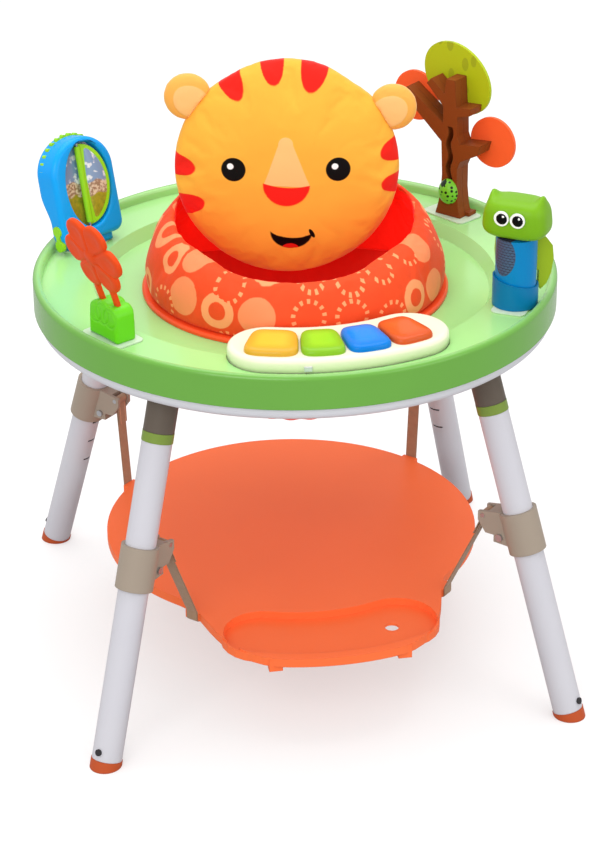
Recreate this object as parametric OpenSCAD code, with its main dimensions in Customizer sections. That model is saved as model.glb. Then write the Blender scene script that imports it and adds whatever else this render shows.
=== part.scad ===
// Baby jumper activity center: a round toy tray on four splayed legs, with a turning sling seat,
// a height-adjustable footboard on straps, a four-key piano and four plug-in toys.
// Millimetres, +Z up, origin on the floor under the tray's axis, the piano side towards -Y.

/* [Tray] */
// Outer diameter of the tray's rim
tray_d = 700; // [680:5:730]
// Height of the rim's top above the floor
tray_top_z = 552; // [530:1:575]
// Outer height of the green rim
rim_h = 45; // [42:1:50]
// Width of the rim, which has a full round on top
rim_w = 12; // [9:1:14]
// Depth of the outer floor below the rim's top
floor_drop = 13; // [11:1:15]
// Distance of the dish's upper edge in from the rim's outside
dish_inset = 80; // [76:1:84]
// Depth of the dish below the outer floor
dish_drop = 17; // [14:1:19]
// Horizontal run of the dish's sloping side
dish_run = 10; // [7:1:13]
// Wall of the two tray shells
shell_t = 4; // [3.5:0.5:5]
// Radius of the seat opening
opening_r = 178; // [174:1:180]
// Depth of the lip that hangs round the seat opening
opening_lip = 14; // [12:1:16]
// Height of the pale lower shell that shows below the rim
base_show_h = 18; // [15:1:20]
// Radius of the lower shell's rounded bottom edge
base_round_r = 11; // [8:1:12]
// Distance of the tray's screws in from the rim's outside
tray_screw_inset = 118; // [110:1:125]
// Number of screws that close the shells
tray_screw_count = 6; // [4:2:8]

/* [Legs] */
// Distance of a leg's foot out from the rim's outside
foot_spread = 93; // [90:1:100]
// Lean of a leg inwards from upright
leg_tilt = 17.4; // [17:0.1:17.8]
// Outer diameter of a leg tube
tube_d = 40; // [36:1:42]
// Wall of a leg tube
tube_wall = 2; // [1.5:0.5:3]
// Height of a foot cap along the leg
foot_h = 9; // [8:1:14]
// Length of a foot cap's plug inside the tube
foot_plug = 24; // [22:1:32]
// Length of a socket below the tray, along the leg
socket_len = 60; // [50:1:70]
// Height of a band along the leg
band_h = 13.5; // [10:0.5:16]
// Length of a socket's spigot inside the band and tube
spigot_len = 45; // [35:1:60]
// Radius of a socket's flange under the tray
socket_flange_r = 32; // [30:1:34]
// Thickness of a socket's flange
socket_flange_t = 5; // [4:0.5:7]
// Pitch of the height slots in a tube
slot_pitch = 33; // [30:1:34]
// Width of a height slot round the tube
slot_w = 16; // [12:1:18]
// Height of a height slot
slot_h = 3; // [2:0.5:4]

/* [Collars and straps] */
// Height of a collar's middle above the floor
collar_z = 259; // [256:1:262]
// Length of a collar along the leg
collar_len = 58; // [54:1:62]
// Wall of a collar
collar_wall = 4.7; // [4:0.1:5.5]
// Distance of a strap pin in from its leg's foot
pin_inset = 135; // [131:1:139]
// Height of a strap pin above a collar's middle
pin_rise = 11; // [9:1:13]
// Diameter of a strap pin
pin_d = 6; // [5:0.5:7]
// Width of a collar's arm
arm_w = 28; // [28:1:32]
// Width of the webbing
strap_w = 18; // [16:1:20]
// Thickness of the webbing
strap_t = 2; // [1.5:0.5:2.5]
// Length of webbing turned under the footboard
strap_tail = 25; // [20:1:28]
// Diameter of a collar's clamp screw
clamp_d = 5; // [4:0.5:6]

/* [Footboard] */
// Height of the footboard's top above the floor
board_z = 136; // [132:1:140]
// Radius of the footboard's round part
board_r = 261; // [256:1:264]
// Distance of the round part's centre behind the tray's axis
board_back = 46; // [42:1:50]
// Reach of the front lobe from the tray's axis
lobe_r = 328; // [326:1:334]
// Thickness of the footboard's top plate
board_t = 3.5; // [3:0.5:5]
// Height of the footboard's edge
skirt_h = 12; // [10:1:15]
// Thickness of the footboard's edge and ribs
skirt_t = 3.5; // [3:0.5:5]
// Depth of the footboard's piano bay
foot_bay_depth = 10; // [8:1:13]
// Diameter of the locating hole in the bay
locate_d = 19; // [15:1:22]
// Distance of the locating hole to the right of the middle
locate_x = 82; // [78:1:84]
// Distance of each front tab from the middle
tab_x = 86; // [80:1:90]
// Width of a front tab
tab_w = 18; // [14:1:22]
// Drop of a front tab below the edge
tab_drop = 8; // [5:1:10]

/* [Seat] */
// Turn of the seat from facing straight ahead
seat_turn = -10.6; // [-30:0.1:30]
// Outer radius of the seat ring's flange
flange_r = 205; // [202:1:206]
// Thickness of the seat ring's flange
flange_t = 6; // [5:0.5:7]
// Inner radius of the seat ring
ring_in_r = 168; // [166:1:169]
// Height of the retainer under the seat ring
retainer_h = 7; // [6:1:9]
// Height of the padded collar's top at the front
lip_front_z = 603; // [598:1:608]
// Height of the padded collar's top at the back
lip_back_z = 655; // [650:1:660]
// Thickness of the padded collar
pad_t = 26; // [22:1:28]
// Added thickness of the padded collar's lip beside the seat's front
pad_roll = 20; // [14:1:22]
// Angle before the seat's sides at which that thickness is fullest
roll_turn = 42; // [38:1:46]
// Spread of that thickness
roll_spread = 20; // [16:1:22]
// Inward lean of the padded collar near its foot
pad_lean = 0.085; // [0.08:0.005:0.1]
// Added inward curve of the padded collar
pad_curve = 0.0025; // [0.0023:0.0001:0.0026]
// Depth of the sling below the tray's dish
sling_depth = 150; // [140:1:170]
// Thickness of the sling's layers
sling_t = 4; // [3:0.5:6]
// Radius of a leg hole in the sling
leg_hole_r = 50; // [44:1:54]
// Angle of a leg hole from straight ahead
leg_hole_turn = 42; // [40:1:46]
// Width of the stiffened pad in the sling
crotch_w = 90; // [80:1:100]
// Length of the stiffened pad in the sling
crotch_l = 150; // [130:1:155]
// Thickness of the stiffened pad
crotch_t = 12; // [8:1:16]

/* [Head cushion] */
// Radius of the head cushion
head_r = 151; // [148:1:152]
// Thickness of the head cushion at its crown
head_t = 84; // [76:1:88]
// Distance of the head cushion's middle behind the tray's axis
head_y = 42; // [38:1:44]
// Height of the head cushion's middle above the floor
head_z = 676; // [674:1:684]
// Distance of the head cushion's middle to the left of the seat's middle
head_shift = 10; // [0:1:10]
// Tilt of the head cushion to the right
head_tilt = 3.4; // [0:0.1:5]
// Radius of an ear
ear_r = 33; // [28:1:36]
// Thickness of an ear
ear_t = 30; // [24:1:36]
// Distance of an ear's middle from the head cushion's middle
ear_reach = 163; // [162:1:168]
// Angle of an ear above level
ear_angle = 34; // [30:1:40]

/* [Piano] */
// Distance of the piano's case from the seat ring's flange
piano_clear = 4; // [3:1:6]
// Distance of the piano's case in from the rim's outside
piano_inset = 38; // [37:1:40]
// Angle from the middle to the centre of a rounded end
piano_half = 20.5; // [20:0.1:21]
// Turn of the piano about the tray's axis
piano_turn = 2.5; // [-3:0.5:3]
// Height of the piano's case
piano_h = 36; // [35:1:42]
// Wall of the piano's case
piano_wall = 2.5; // [2:0.5:3]
// Distance of the keys from the case's inner edge
key_in_margin = 26; // [24:1:28]
// Distance of the keys from the case's outer edge
key_out_margin = 10; // [8:1:12]
// Angle from one key to the next
key_pitch = 11.8; // [11.6:0.1:12]
// Added width of the first key at its outer end
first_key_extra = 12; // [0:1:14]
// Gap between neighbouring keys
key_gap = 5; // [4.5:0.5:6]
// Height of a key above the case
key_proud = 9; // [8:1:12]
// Travel of a key
key_travel = 3; // [2:0.5:3.5]
// Corner radius of a key
key_corner = 11; // [9:1:13]

/* [Toy places] */
// Distance of a toy's middle in from the rim's outside
toy_inset = 45; // [44:1:46]
// Angle of the tree's place from the tray's right
tree_place = 33; // [31:0.5:34]
// Angle of the owl's place from the tray's right, towards the front
owl_place = 30.5; // [29:0.5:32]
// Angle of the flower's place from the tray's left, towards the front
flower_place = 30; // [29:0.5:32]
// Angle of the page turner's place from the tray's left
turner_place = 31; // [30:0.5:32]
// Length of a toy plate along the rim
plate_l = 76; // [72:1:80]
// Width of a toy plate
plate_w = 46; // [44:1:48]
// Thickness of a toy plate above the floor
plate_t = 2; // [1.5:0.5:3]
// Depth of a toy plate's plug below the plate
plug_h = 10; // [8:1:12]

/* [Tree toy] */
// Turn of the tree from facing the tray's axis
tree_turn = 9; // [0:1:20]
// Depth of one half of the trunk
trunk_half = 14; // [12:1:15]
// Height of the trunk
trunk_h = 200; // [196:1:206]
// Thickness of a leaf
leaf_t = 5; // [4:0.5:7]
// Radius of a side leaf
leaf_r = 36; // [33:1:37]
// Half width of the top leaf
top_leaf_a = 58; // [54:1:60]
// Half height of the top leaf
top_leaf_b = 46; // [42:1:48]
// Width of the wavy slot
slot_run_w = 8; // [7.5:0.5:9]
// Sideways swing of the wavy slot
slot_wave = 2; // [1:0.25:2]
// Travel of the bug
bug_travel = 80; // [70:1:82]
// Diameter of the bug's peg
peg_d = 3.4; // [3:0.1:3.4]

/* [Owl toy] */
// Turn of the owl's face from the tray's axis
owl_turn = 86; // [0:1:180]
// Radius of the owl's drum
drum_r = 27; // [25:1:28]
// Height of the owl's drum
drum_h = 90; // [86:1:94]
// Height of the slanted cup at its middle
cup_h = 34; // [30:1:38]
// Slant of the cup's edge
cup_slant = 12; // [8:1:14]
// Width of the owl's head
owl_head_w = 86; // [82:1:90]
// Depth of the owl's head
owl_head_d = 60; // [56:1:62]
// Height of the owl's head
owl_head_h = 54; // [52:1:58]
// Edge radius of the owl's head
owl_head_round = 15; // [12:1:17]
// Reach of a wing beyond the drum
wing_reach = 24; // [18:1:26]
// Sweep of a wing towards the owl's back
wing_sweep = 40; // [0:1:50]
// Thickness of a wing
wing_t = 6; // [5:0.5:8]
// Radius of an eye
eye_r = 10; // [8:0.5:11]
// Diameter of the owl's spindle
owl_spindle_d = 8; // [7:0.5:10]

/* [Flower toy] */
// Lean of the flower away from the tray's axis
flower_lean = 18; // [10:1:24]
// Length of the flower's block along the rim
block_l = 58; // [56:1:62]
// Depth of the flower's block
block_d = 32; // [30:1:36]
// Height of the flower's pivot above its plate
pivot_h = 40; // [38:1:42]
// Distance between the loop's two legs
loop_l = 29; // [28:1:32]
// Width of a loop leg
loop_w = 8; // [7:0.5:9]
// Thickness of the flower
flower_t = 11; // [9:1:13]
// Height of the flower's middle above its pivot
flower_rise = 80; // [76:1:84]
// Radius of a petal
petal_r = 20; // [18:0.5:21]
// Distance of a petal from the flower's middle
petal_reach = 35; // [33:1:36]
// Diameter of the flower's pivot pin
pivot_d = 4; // [3:0.5:5]

/* [Page turner] */
// Turn of the case from facing the tray's axis
case_turn = -26; // [-28:1:-22]
// Lean of the case away from the tray's axis
case_lean = 12; // [9:1:14]
// Width of the case, which has a full round on top
case_w = 97; // [94:1:98]
// Height of the case along its lean
case_h = 142; // [140:1:146]
// Depth of one half of the case
case_half = 21; // [20:1:22]
// Radius of the case's lower corners
case_low_r = 12; // [8:1:14]
// Height of the stem under the case
stem_h = 8; // [7:1:10]
// Width of the stem
stem_w = 76; // [70:1:78]
// Depth of one half of the stem
stem_half = 15; // [14:1:17]
// Half width of the oval window
window_a = 37; // [35:1:38]
// Half height of the oval window
window_b = 59; // [56:1:60]
// Distance of the window's middle to the right of the case's middle
window_x = 4; // [2:0.5:5]
// Height of the window's middle above the case's foot
window_z = 76; // [75:1:77]
// Depth of the window
window_depth = 15; // [14:1:16]
// Gap between the page's edge and the window
page_gap = 3; // [2:0.5:4]
// Thickness of the page
page_t = 4; // [3:0.5:5]
// Diameter of the page's spindle
spindle_d = 4; // [3:0.5:5]
// Radius of a tooth on the clicker wheel
tooth_r = 3; // [2.6:0.1:3.2]
// Number of teeth on the clicker wheel
tooth_count = 30; // [26:1:32]
// Thickness of the clicker wheel
wheel_t = 7; // [6:0.5:8]
// Diameter of the clicker wheel's axle
axle_d = 6; // [5:0.5:8]
// Radius of a lobe on the side knob
lobe_knob_r = 8; // [7:0.5:8.5]
// Distance of a lobe from the side knob's axis
lobe_knob_reach = 10; // [9:0.5:10]
// Thickness of the side knob
knob_t = 6; // [5:0.5:6]
// Height of the side knob's axis above the case's foot
knob_z = 12; // [11:1:14]
// Distance of the side knob's axis in front of the case's middle
knob_y = 8; // [8:0.5:10]
// Height below which the case's back is drawn in
waist_z = 26; // [22:1:28]
// Depth of the case's back half below its waist
waist_half = 7; // [6:0.5:8]

/* [Fits] */
// Gap between pieces that are fixed face to face
seat_gap = 0.2; // [0.1:0.1:0.4]
// Radial clearance of a pin in its hole
run_gap = 0.05; // [0.03:0.01:0.08]
// Clearance round a piece that drops into a pocket
drop_gap = 1; // [0.6:0.1:1.4]
// Diameter of a screw
screw_d = 4; // [3:0.5:5]
// Radius of a screw head
screw_head_r = 4.5; // [4:0.5:5.5]
// Height of a screw head
screw_head_h = 2.5; // [2:0.5:3]

/* [Hidden] */
$fn = 64;
cut = 1;
tray_r = tray_d / 2;
dish_r = tray_r - dish_inset;
tray_screw_r = tray_r - tray_screw_inset;
toy_r = tray_r - toy_inset;
foot_r = tray_r + foot_spread;
pin_r = foot_r - pin_inset;
piano_in_r = flange_r + piano_clear;
piano_out_r = tray_r - piano_inset;
key_in_r = piano_in_r + key_in_margin;
key_out_r = piano_out_r - key_out_margin;
rim_bottom_z = tray_top_z - rim_h;
floor_z = tray_top_z - floor_drop;
dish_z = floor_z - dish_drop;
base_z = rim_bottom_z - base_show_h;
base_top_z = base_z + shell_t;
base_out_r = tray_r - shell_t - 0.3;
bay_z = dish_z - cut;
slope_shift = shell_t * tan(atan2(dish_drop, dish_run) / 2);
screw_r = screw_d / 2;
screw_hole_r = screw_r + run_gap;
boss_r = screw_r + 4;
post_in_r = opening_r + 8;

tube_r = tube_d / 2;
tube_in_r = tube_r - tube_wall;
leg_rise = tan(leg_tilt);
base_s = base_z / cos(leg_tilt);
socket_s = base_s - socket_len;
band_s = socket_s - band_h;
collar_s = collar_z / cos(leg_tilt);
collar_in_r = tube_r + 0.3;
collar_out_r = collar_in_r + collar_wall;
pin_z = collar_z + pin_rise;
leg_turns = [225, 315, 135, 45];

loop_in_r = pin_d / 2 + 0.4;
loop_out_r = loop_in_r + strap_t;
clamp_r = foot_r - collar_z * leg_rise - collar_out_r - 2;
clamp_z = collar_z - 14;
lobe_start = 54;
lobe_full = 14;
locate_y = -sqrt(pow((piano_in_r + piano_out_r) / 2 + 2, 2) - pow(locate_x, 2));
lug_reach = 7.5;

ring_out_r = opening_r - 2;
retainer_screw_r = ring_in_r + screw_head_r + seat_gap / 2;
ring_z = dish_z + 0.4;
ring_top_z = ring_z + flange_t;
ring_bottom_z = dish_z - opening_lip - 0.4;
pad_z = ring_top_z + seat_gap;
pad_foot_r = flange_r + 0.3;
back_y = head_y + head_t / 2 + 0.6;
nest_share = 0.7;
nest_turn = 18;
nest_spread = 16;
sling_top_r = ring_in_r - 0.3;
sling_top_z = ring_top_z - 1;
sling_z = dish_z - sling_depth;
sling_band = 24;
sling_draw = 66;

piano_z = bay_z + seat_gap;
piano_top_z = piano_z + piano_h;
piano_split_z = piano_z + 16;
piano_floor_z = piano_z + piano_wall;
key_top_z = piano_top_z + key_proud;
key_lip = 2;
key_lip_t = 3;
key_hole_gap = 0.6;
pcb_t = 1.6;
pcb_z = piano_floor_z + 7;
dome_r = 6;
key_bottom_z = piano_top_z - piano_wall - key_lip_t - 3;
dome_top_z = key_bottom_z - key_travel - 0.4;
door_w = 34;
door_l = 70;
door_gap = 0.3;
speaker_r = 15;
speaker_h = 14;
switch_turn = -100;
switch_z = piano_split_z + 5;
switch_slack = 0.5;
switch_l = 10;
switch_h = 6;
switch_travel = 4;

toy_z = floor_z + plate_t + seat_gap;
toy_turns = [tree_place, -owl_place, 180 + flower_place, 180 - turner_place];
plug_l = plate_l - 18;
plug_w = plate_w - 18;

slot_low_z = 44;
peg_r = peg_d / 2;
bug_w = 31;
bug_tall = 38;
peg_low_z = slot_low_z + 4 + peg_r;
bug_z = peg_low_z - 13;
catch_r = 5.5;
catch_t = 2.5;
tree_shift = 3;
top_leaf_x = -9;
top_leaf_z = trunk_h - 7;
top_leaf_lean = -33;

cup_t = 2.5;
cup_in_r = drum_r + 0.6;
drum_z = 5;
spindle_r = owl_spindle_d / 2;
owl_head_z = drum_z + drum_h + seat_gap;
cup_out_r = cup_in_r + cup_t;
cup_low_turn = 110;
eye_t = 2.5;

loop_x = loop_l / 2;
leg_slot_gap = 1;
pin_end = block_l / 2 - 4;

page_y = -case_half + 7.5;
page_a = window_x + window_a - page_gap;
page_b = window_b - page_gap;
barrel_r = spindle_d / 2 + 2.4;
spindle_over = 5;
page_angle = 14;
picture_t = 1.5;
wheel_r = case_w / 2 + 0.5;
wheel_z = case_h - case_w / 2;
waist_end_z = waist_z + case_half / 2;
wheel_y = 4;
wheel_room = 1;
knob_shaft_r = 4;
knob_boss_r = 7.5;
knob_boss_l = 24;
knob_depth = 14;

tray_green = [0.47, 0.78, 0.36];
pale_grey = [0.86, 0.86, 0.87];
tube_white = [0.89, 0.89, 0.92];
taupe = [0.62, 0.57, 0.52];
lime = [0.56, 0.85, 0.17];
orange = [0.97, 0.44, 0.2];
steel = [0.7, 0.71, 0.73];
webbing = [0.66, 0.54, 0.44];
print_orange = [0.97, 0.36, 0.18];
lining_red = [0.92, 0.2, 0.1];
head_yellow = [0.99, 0.7, 0.26];
cream = [0.96, 0.95, 0.9];
key_yellow = [0.98, 0.75, 0.22];
key_blue = [0.03, 0.53, 0.96];
trunk_brown = [0.56, 0.27, 0.15];
olive = [0.68, 0.74, 0.12];
owl_green = [0.5, 0.77, 0.13];
case_blue = [0.04, 0.55, 0.88];
board_green = [0.1, 0.4, 0.2];
dark_grey = [0.2, 0.2, 0.22];

// Points of an arc about c, both ends included
function arc(c, r, a0, a1, n = 8) =
    [for (i = [0 : n]) let (a = a0 + (a1 - a0) * i / n) c + r * [cos(a), sin(a)]];

// Points of an oval about c with half width a and half height b, a whole turn unless from and to are given
function oval(c, a, b, from = 0, to = 352.5, n = 47) =
    [for (i = [0 : n]) let (t = from + (to - from) * i / n) c + [a * cos(t), b * sin(t)]];

// Point at radius r and angle a
function polar(r, a) = r * [cos(a), sin(a)];

// Curved bean about the tray's axis with round ends, centred on -Y
function bean(r0, r1, half, grow = 0, n = 12) =
    let (mid = (r0 + r1) / 2, end = (r1 - r0) / 2 + grow, left = -90 - half, right = -90 + half)
    concat(
        [for (i = [0 : n]) polar(r1 + grow, left + 2 * half * i / n)],
        [for (i = [1 : n - 1]) polar(mid, right) + polar(end, right + 180 * i / n)],
        [for (i = [0 : n]) polar(r0 - grow, right - 2 * half * i / n)],
        [for (i = [1 : n - 1]) polar(mid, left) + polar(end, left + 180 + 180 * i / n)]);

// Ring sector about the tray's axis with rounded corners, inset all round
function sector(r0, r1, middle, width, corner, inset, n = 5) =
    let (ro = r1 - inset, ri = r0 + inset, c = corner - inset / 2,
         half = width / 2 - inset, mid = (ro + ri) / 2, swing = asin(half / mid),
         oa = swing - asin(c / (ro - c)), ia = swing - asin(c / (ri + c)))
    concat(
        arc(polar(ro - c, middle + oa), c, middle + oa, middle + swing + 90, n),
        arc(polar(ri + c, middle + ia), c, middle + swing + 90, middle + ia + 180, n),
        arc(polar(ri + c, middle - ia), c, middle - ia + 180, middle - swing + 270, n),
        arc(polar(ro - c, middle - oa), c, middle - swing + 270, middle - oa + 360, n));

// Rectangle w by d about the origin with corners of radius r
function round_box(w, d, r, n = 6) = concat(
    arc([w / 2 - r, d / 2 - r], r, 0, 90, n), arc([r - w / 2, d / 2 - r], r, 90, 180, n),
    arc([r - w / 2, r - d / 2], r, 180, 270, n), arc([w / 2 - r, r - d / 2], r, 270, 360, n));

// Smooth step from 0 to 1
function ease(t) = let (u = min(max(t, 0), 1)) u * u * (3 - 2 * u);

// Radius of the footboard's edge from the tray's axis at angle a
function board_edge(a) =
    let (round_edge = board_back * sin(a) + sqrt(pow(board_r, 2) - pow(board_back * cos(a), 2)),
         off = abs(((a + 90 + 540) % 360) - 180))
    round_edge + (lobe_r - round_edge) * ease((lobe_start - off) / (lobe_start - lobe_full));
function board_outline(inset) = [for (a = [0 : 3 : 357]) polar(board_edge(a) - inset, a)];

// Outer face of the strap lug under leg k
function lug_r(k) = board_edge(leg_turns[k]) + lug_reach;

// Signed power, for rounded sections
function soft(v, p) = sign(v) * pow(abs(v), p);

// Half outline of a crowned cushion of revolution, from its front pole to its back pole
function crown(r, t, n = 22) = [for (i = [0 : n]) let (a = -90 + 180 * i / n)
    [r * soft(cos(a), 0.72) * (abs(sin(a)) == 1 ? 0 : 1), t / 2 * soft(sin(a), 0.92)]];

// Outline of a strip of thickness t along a path
function unit(v) = v / norm(v);
function side(v) = [-v[1], v[0]];
function mitre(p, i) =
    let (n = len(p) - 1, a = side(unit(p[min(i + 1, n)] - p[max(min(i, n - 1), 0)])),
         b = side(unit(p[max(min(i, n), 1)] - p[max(i - 1, 0)])),
         e = i == 0 ? side(unit(p[1] - p[0])) : i == n ? side(unit(p[n] - p[n - 1])) : unit(a + b))
    e / (i == 0 || i == n ? 1 : e * a);
function strip(p, t) = concat(
    [for (i = [0 : len(p) - 1]) p[i] + mitre(p, i) * t / 2],
    [for (i = [len(p) - 1 : -1 : 0]) p[i] - mitre(p, i) * t / 2]);

// Distance of a leg's axis from the tray's axis at height z
function leg_axis_r(z) = foot_r - z * leg_rise;

// Frame along leg k: origin on the floor, +Z up the leg, +X away from the tray's axis
module at_leg(k) {
    rotate([0, 0, leg_turns[k]]) translate([foot_r, 0, 0]) rotate([0, -leg_tilt, 0]) children();
}

// Upright radial plane of leg k: drawn x is radius, drawn y is height
module leg_plate(k, width) {
    rotate([0, 0, leg_turns[k]]) rotate([90, 0, 0]) translate([0, 0, -width / 2])
        linear_extrude(width) children();
}

// Bar across leg k's radial plane at radius r and height z
module leg_bar(k, r, z, radius, from, length) {
    rotate([0, 0, leg_turns[k]]) translate([r, from, z]) rotate([-90, 0, 0]) cylinder(r = radius, h = length);
}

// Frame of the piano, whose middle lies on -Y
module at_piano() {
    rotate([0, 0, piano_turn]) children();
}

// Frame of toy place k: origin on its plate, -Y towards the tray's axis
module at_toy(k, turn = 0) {
    rotate([0, 0, toy_turns[k]]) translate([toy_r, 0, toy_z]) rotate([0, 0, turn - 90]) children();
}

module at_tray_screws() {
    for (i = [0 : tray_screw_count - 1]) rotate([0, 0, (i + 0.5) * 360 / tray_screw_count])
        translate([tray_screw_r, 0, base_z]) children();
}

module at_socket_screws() {
    for (k = [0 : 3], s = [-1, 1]) rotate([0, 0, leg_turns[k]])
        translate([leg_axis_r(base_z), s * (socket_flange_r - 7), base_z]) children();
}

// Screw with its head's top face at z = 0 and its shank upwards
module screw(length) {
    translate([0, 0, -screw_head_h]) cylinder(r = screw_head_r, h = screw_head_h);
    translate([0, 0, -screw_head_h / 2]) cylinder(r = screw_r, h = length + screw_head_h / 2);
}

module ring(r_out, r_in, h) {
    difference() {
        cylinder(r = r_out, h = h);
        translate([0, 0, -cut]) cylinder(r = r_in, h = h + 2 * cut);
    }
}

module tray_top() {
    lip_z = dish_z - opening_lip;
    under_z = dish_z - shell_t;
    floor_under_z = floor_z - shell_t;
    rim_middle = [tray_r - rim_w / 2, tray_top_z - rim_w / 2];
    profile = concat([[tray_r, rim_bottom_z]], arc(rim_middle, rim_w / 2, 0, 180, 10),
        [[tray_r - rim_w, floor_z], [dish_r, floor_z], [dish_r - dish_run, dish_z], [opening_r, dish_z],
         [opening_r, lip_z], [opening_r + shell_t, lip_z], [opening_r + shell_t, under_z],
         [dish_r - dish_run + slope_shift, under_z], [dish_r + slope_shift, floor_under_z],
         [tray_r - shell_t, floor_under_z], [tray_r - shell_t, rim_bottom_z]]);
    color(tray_green) difference() {
        union() {
            rotate_extrude() polygon(profile);
            difference() {
                at_piano() translate([0, 0, bay_z - shell_t])
                    linear_extrude(floor_under_z - bay_z + 1.5 * shell_t)
                        polygon(bean(piano_in_r, piano_out_r, piano_half, drop_gap + shell_t));
                translate([0, 0, bay_z - shell_t - cut]) cylinder(r = dish_r - dish_run, h = rim_h);
            }
            at_tray_screws() translate([0, 0, shell_t + seat_gap])
                cylinder(r = boss_r, h = under_z - base_top_z - seat_gap + shell_t / 2);
        }
        at_piano() translate([0, 0, bay_z]) linear_extrude(rim_h)
            polygon(bean(piano_in_r, piano_out_r, piano_half, drop_gap));
        at_tray_screws() cylinder(r = screw_hole_r, h = under_z - base_z - cut);
        for (k = [0 : 3]) at_toy(k) translate([0, 0, -plate_t - plug_h]) linear_extrude(2 * plug_h)
            polygon(round_box(plug_l + 2 * seat_gap, plug_w + 2 * seat_gap, 4));
    }
}

module tray_base() {
    top_z = floor_z - shell_t - seat_gap;
    post_z = dish_z - shell_t - seat_gap;
    profile = concat([[post_in_r, base_z]],
        arc([base_out_r - base_round_r, base_z + base_round_r], base_round_r, 270, 360, 6),
        [[base_out_r, top_z], [base_out_r - shell_t, top_z], [base_out_r - shell_t, base_top_z],
         [post_in_r + shell_t, base_top_z], [post_in_r + shell_t, post_z], [post_in_r, post_z]]);
    color(pale_grey) difference() {
        rotate_extrude() polygon(profile);
        at_tray_screws() translate([0, 0, -cut]) cylinder(r = screw_hole_r, h = shell_t + 2 * cut);
        at_socket_screws() translate([0, 0, -cut]) cylinder(r = screw_hole_r, h = shell_t + 2 * cut);
    }
}

module frame_screws() {
    nut_h = 3;
    foot_screw_s = foot_h + foot_plug / 2;
    color(steel) {
        at_tray_screws() translate([0, 0, -seat_gap]) screw(dish_z - shell_t - base_z - 3 * cut);
        at_socket_screws() translate([0, 0, -socket_flange_t - 2 * seat_gap]) {
            stack = socket_flange_t + shell_t + 4 * seat_gap;
            screw(stack + nut_h);
            translate([0, 0, stack]) cylinder(r = screw_head_r, h = nut_h);
        }
        for (k = [0 : 3]) at_leg(k) translate([tube_r + seat_gap, 0, foot_screw_s]) rotate([0, -90, 0])
            screw(tube_r - 6);
    }
}

module leg_sockets() {
    spigot_r = tube_in_r - 0.3;
    color(taupe) for (k = [0 : 3]) difference() {
        union() {
            difference() {
                at_leg(k) {
                    translate([0, 0, socket_s]) cylinder(r = tube_r + 0.5, h = socket_len + tube_r);
                    translate([0, 0, band_s - spigot_len])
                        cylinder(r = spigot_r, h = spigot_len + band_h + cut);
                }
                translate([0, 0, base_z - seat_gap]) cylinder(r = tray_r, h = rim_h);
            }
            rotate([0, 0, leg_turns[k]])
                translate([leg_axis_r(base_z), 0, base_z - socket_flange_t - seat_gap])
                    cylinder(r = socket_flange_r, h = socket_flange_t);
        }
        at_socket_screws() translate([0, 0, -socket_flange_t - cut])
            cylinder(r = screw_hole_r, h = socket_flange_t + cut);
    }
}

module leg_bands() {
    color(lime) for (k = [0 : 3]) at_leg(k) translate([0, 0, band_s + seat_gap])
        ring(tube_r + 0.8, tube_in_r, band_h - 2 * seat_gap);
}

module leg_tube(k) {
    slot_s = slot_pitch / cos(leg_tilt);
    color(tube_white) at_leg(k) difference() {
        translate([0, 0, foot_h + seat_gap]) ring(tube_r, tube_in_r, band_s - foot_h - seat_gap);
        for (i = [0 : 3]) translate([-tube_r - cut, -slot_w / 2, collar_s - i * slot_s - slot_h / 2])
            cube([tube_wall + 4 * cut, slot_w, slot_h]);
        translate([0, 0, foot_h + foot_plug / 2]) rotate([0, 90, 0]) cylinder(r = screw_hole_r, h = tube_d);
    }
}

module leg_feet() {
    plug_r = tube_in_r - 0.3;
    color(orange) for (k = [0 : 3]) difference() {
        at_leg(k) {
            translate([0, 0, -foot_h]) cylinder(r = tube_r + 1, h = 2 * foot_h);
            translate([0, 0, foot_h - cut]) cylinder(r = plug_r, h = foot_plug + cut);
        }
        rotate([0, 0, leg_turns[k]]) translate([foot_r - tube_d, -tube_d, -tube_d])
            cube([2 * tube_d, 2 * tube_d, tube_d]);
        at_leg(k) translate([0, 0, foot_h + foot_plug / 2]) rotate([0, 90, 0])
            cylinder(r = screw_hole_r, h = tube_d);
    }
}

module leg_collar(k) {
    top_z = collar_z + collar_len * 0.42;
    low_z = collar_z - collar_len * 0.42;
    tip_z = pin_z + pin_d / 2 + 5;
    tip_low_z = pin_z - pin_d / 2 - 5;
    step_z = tip_low_z - 16;
    profile = [[leg_axis_r(top_z) - 10, top_z], [pin_r + 8, tip_z], [pin_r - pin_d / 2 - 4, tip_z - 3],
        [pin_r - pin_d / 2 - 4, tip_low_z], [pin_r + 5, step_z], [clamp_r - 9, step_z],
        [clamp_r - 9, clamp_z - 9], [leg_axis_r(low_z) - 12, low_z]];
    slot_x = strap_w + 0.8;
    color(taupe) difference() {
        union() {
            at_leg(k) translate([0, 0, collar_s - collar_len / 2]) cylinder(r = collar_out_r, h = collar_len);
            leg_plate(k, arm_w) polygon(profile);
        }
        at_leg(k) translate([0, 0, collar_s - collar_len]) cylinder(r = collar_in_r, h = 2 * collar_len);
        rotate([0, 0, leg_turns[k]])
            translate([pin_r - 2 * loop_out_r, -slot_x / 2, collar_z - collar_len / 2])
                cube([3.4 * loop_out_r, slot_x, collar_len]);
        leg_bar(k, pin_r, pin_z, pin_d / 2 + run_gap, -arm_w, 2 * arm_w);
        leg_bar(k, clamp_r, clamp_z, clamp_d / 2 + run_gap, -arm_w, 2 * arm_w);
    }
}

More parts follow.
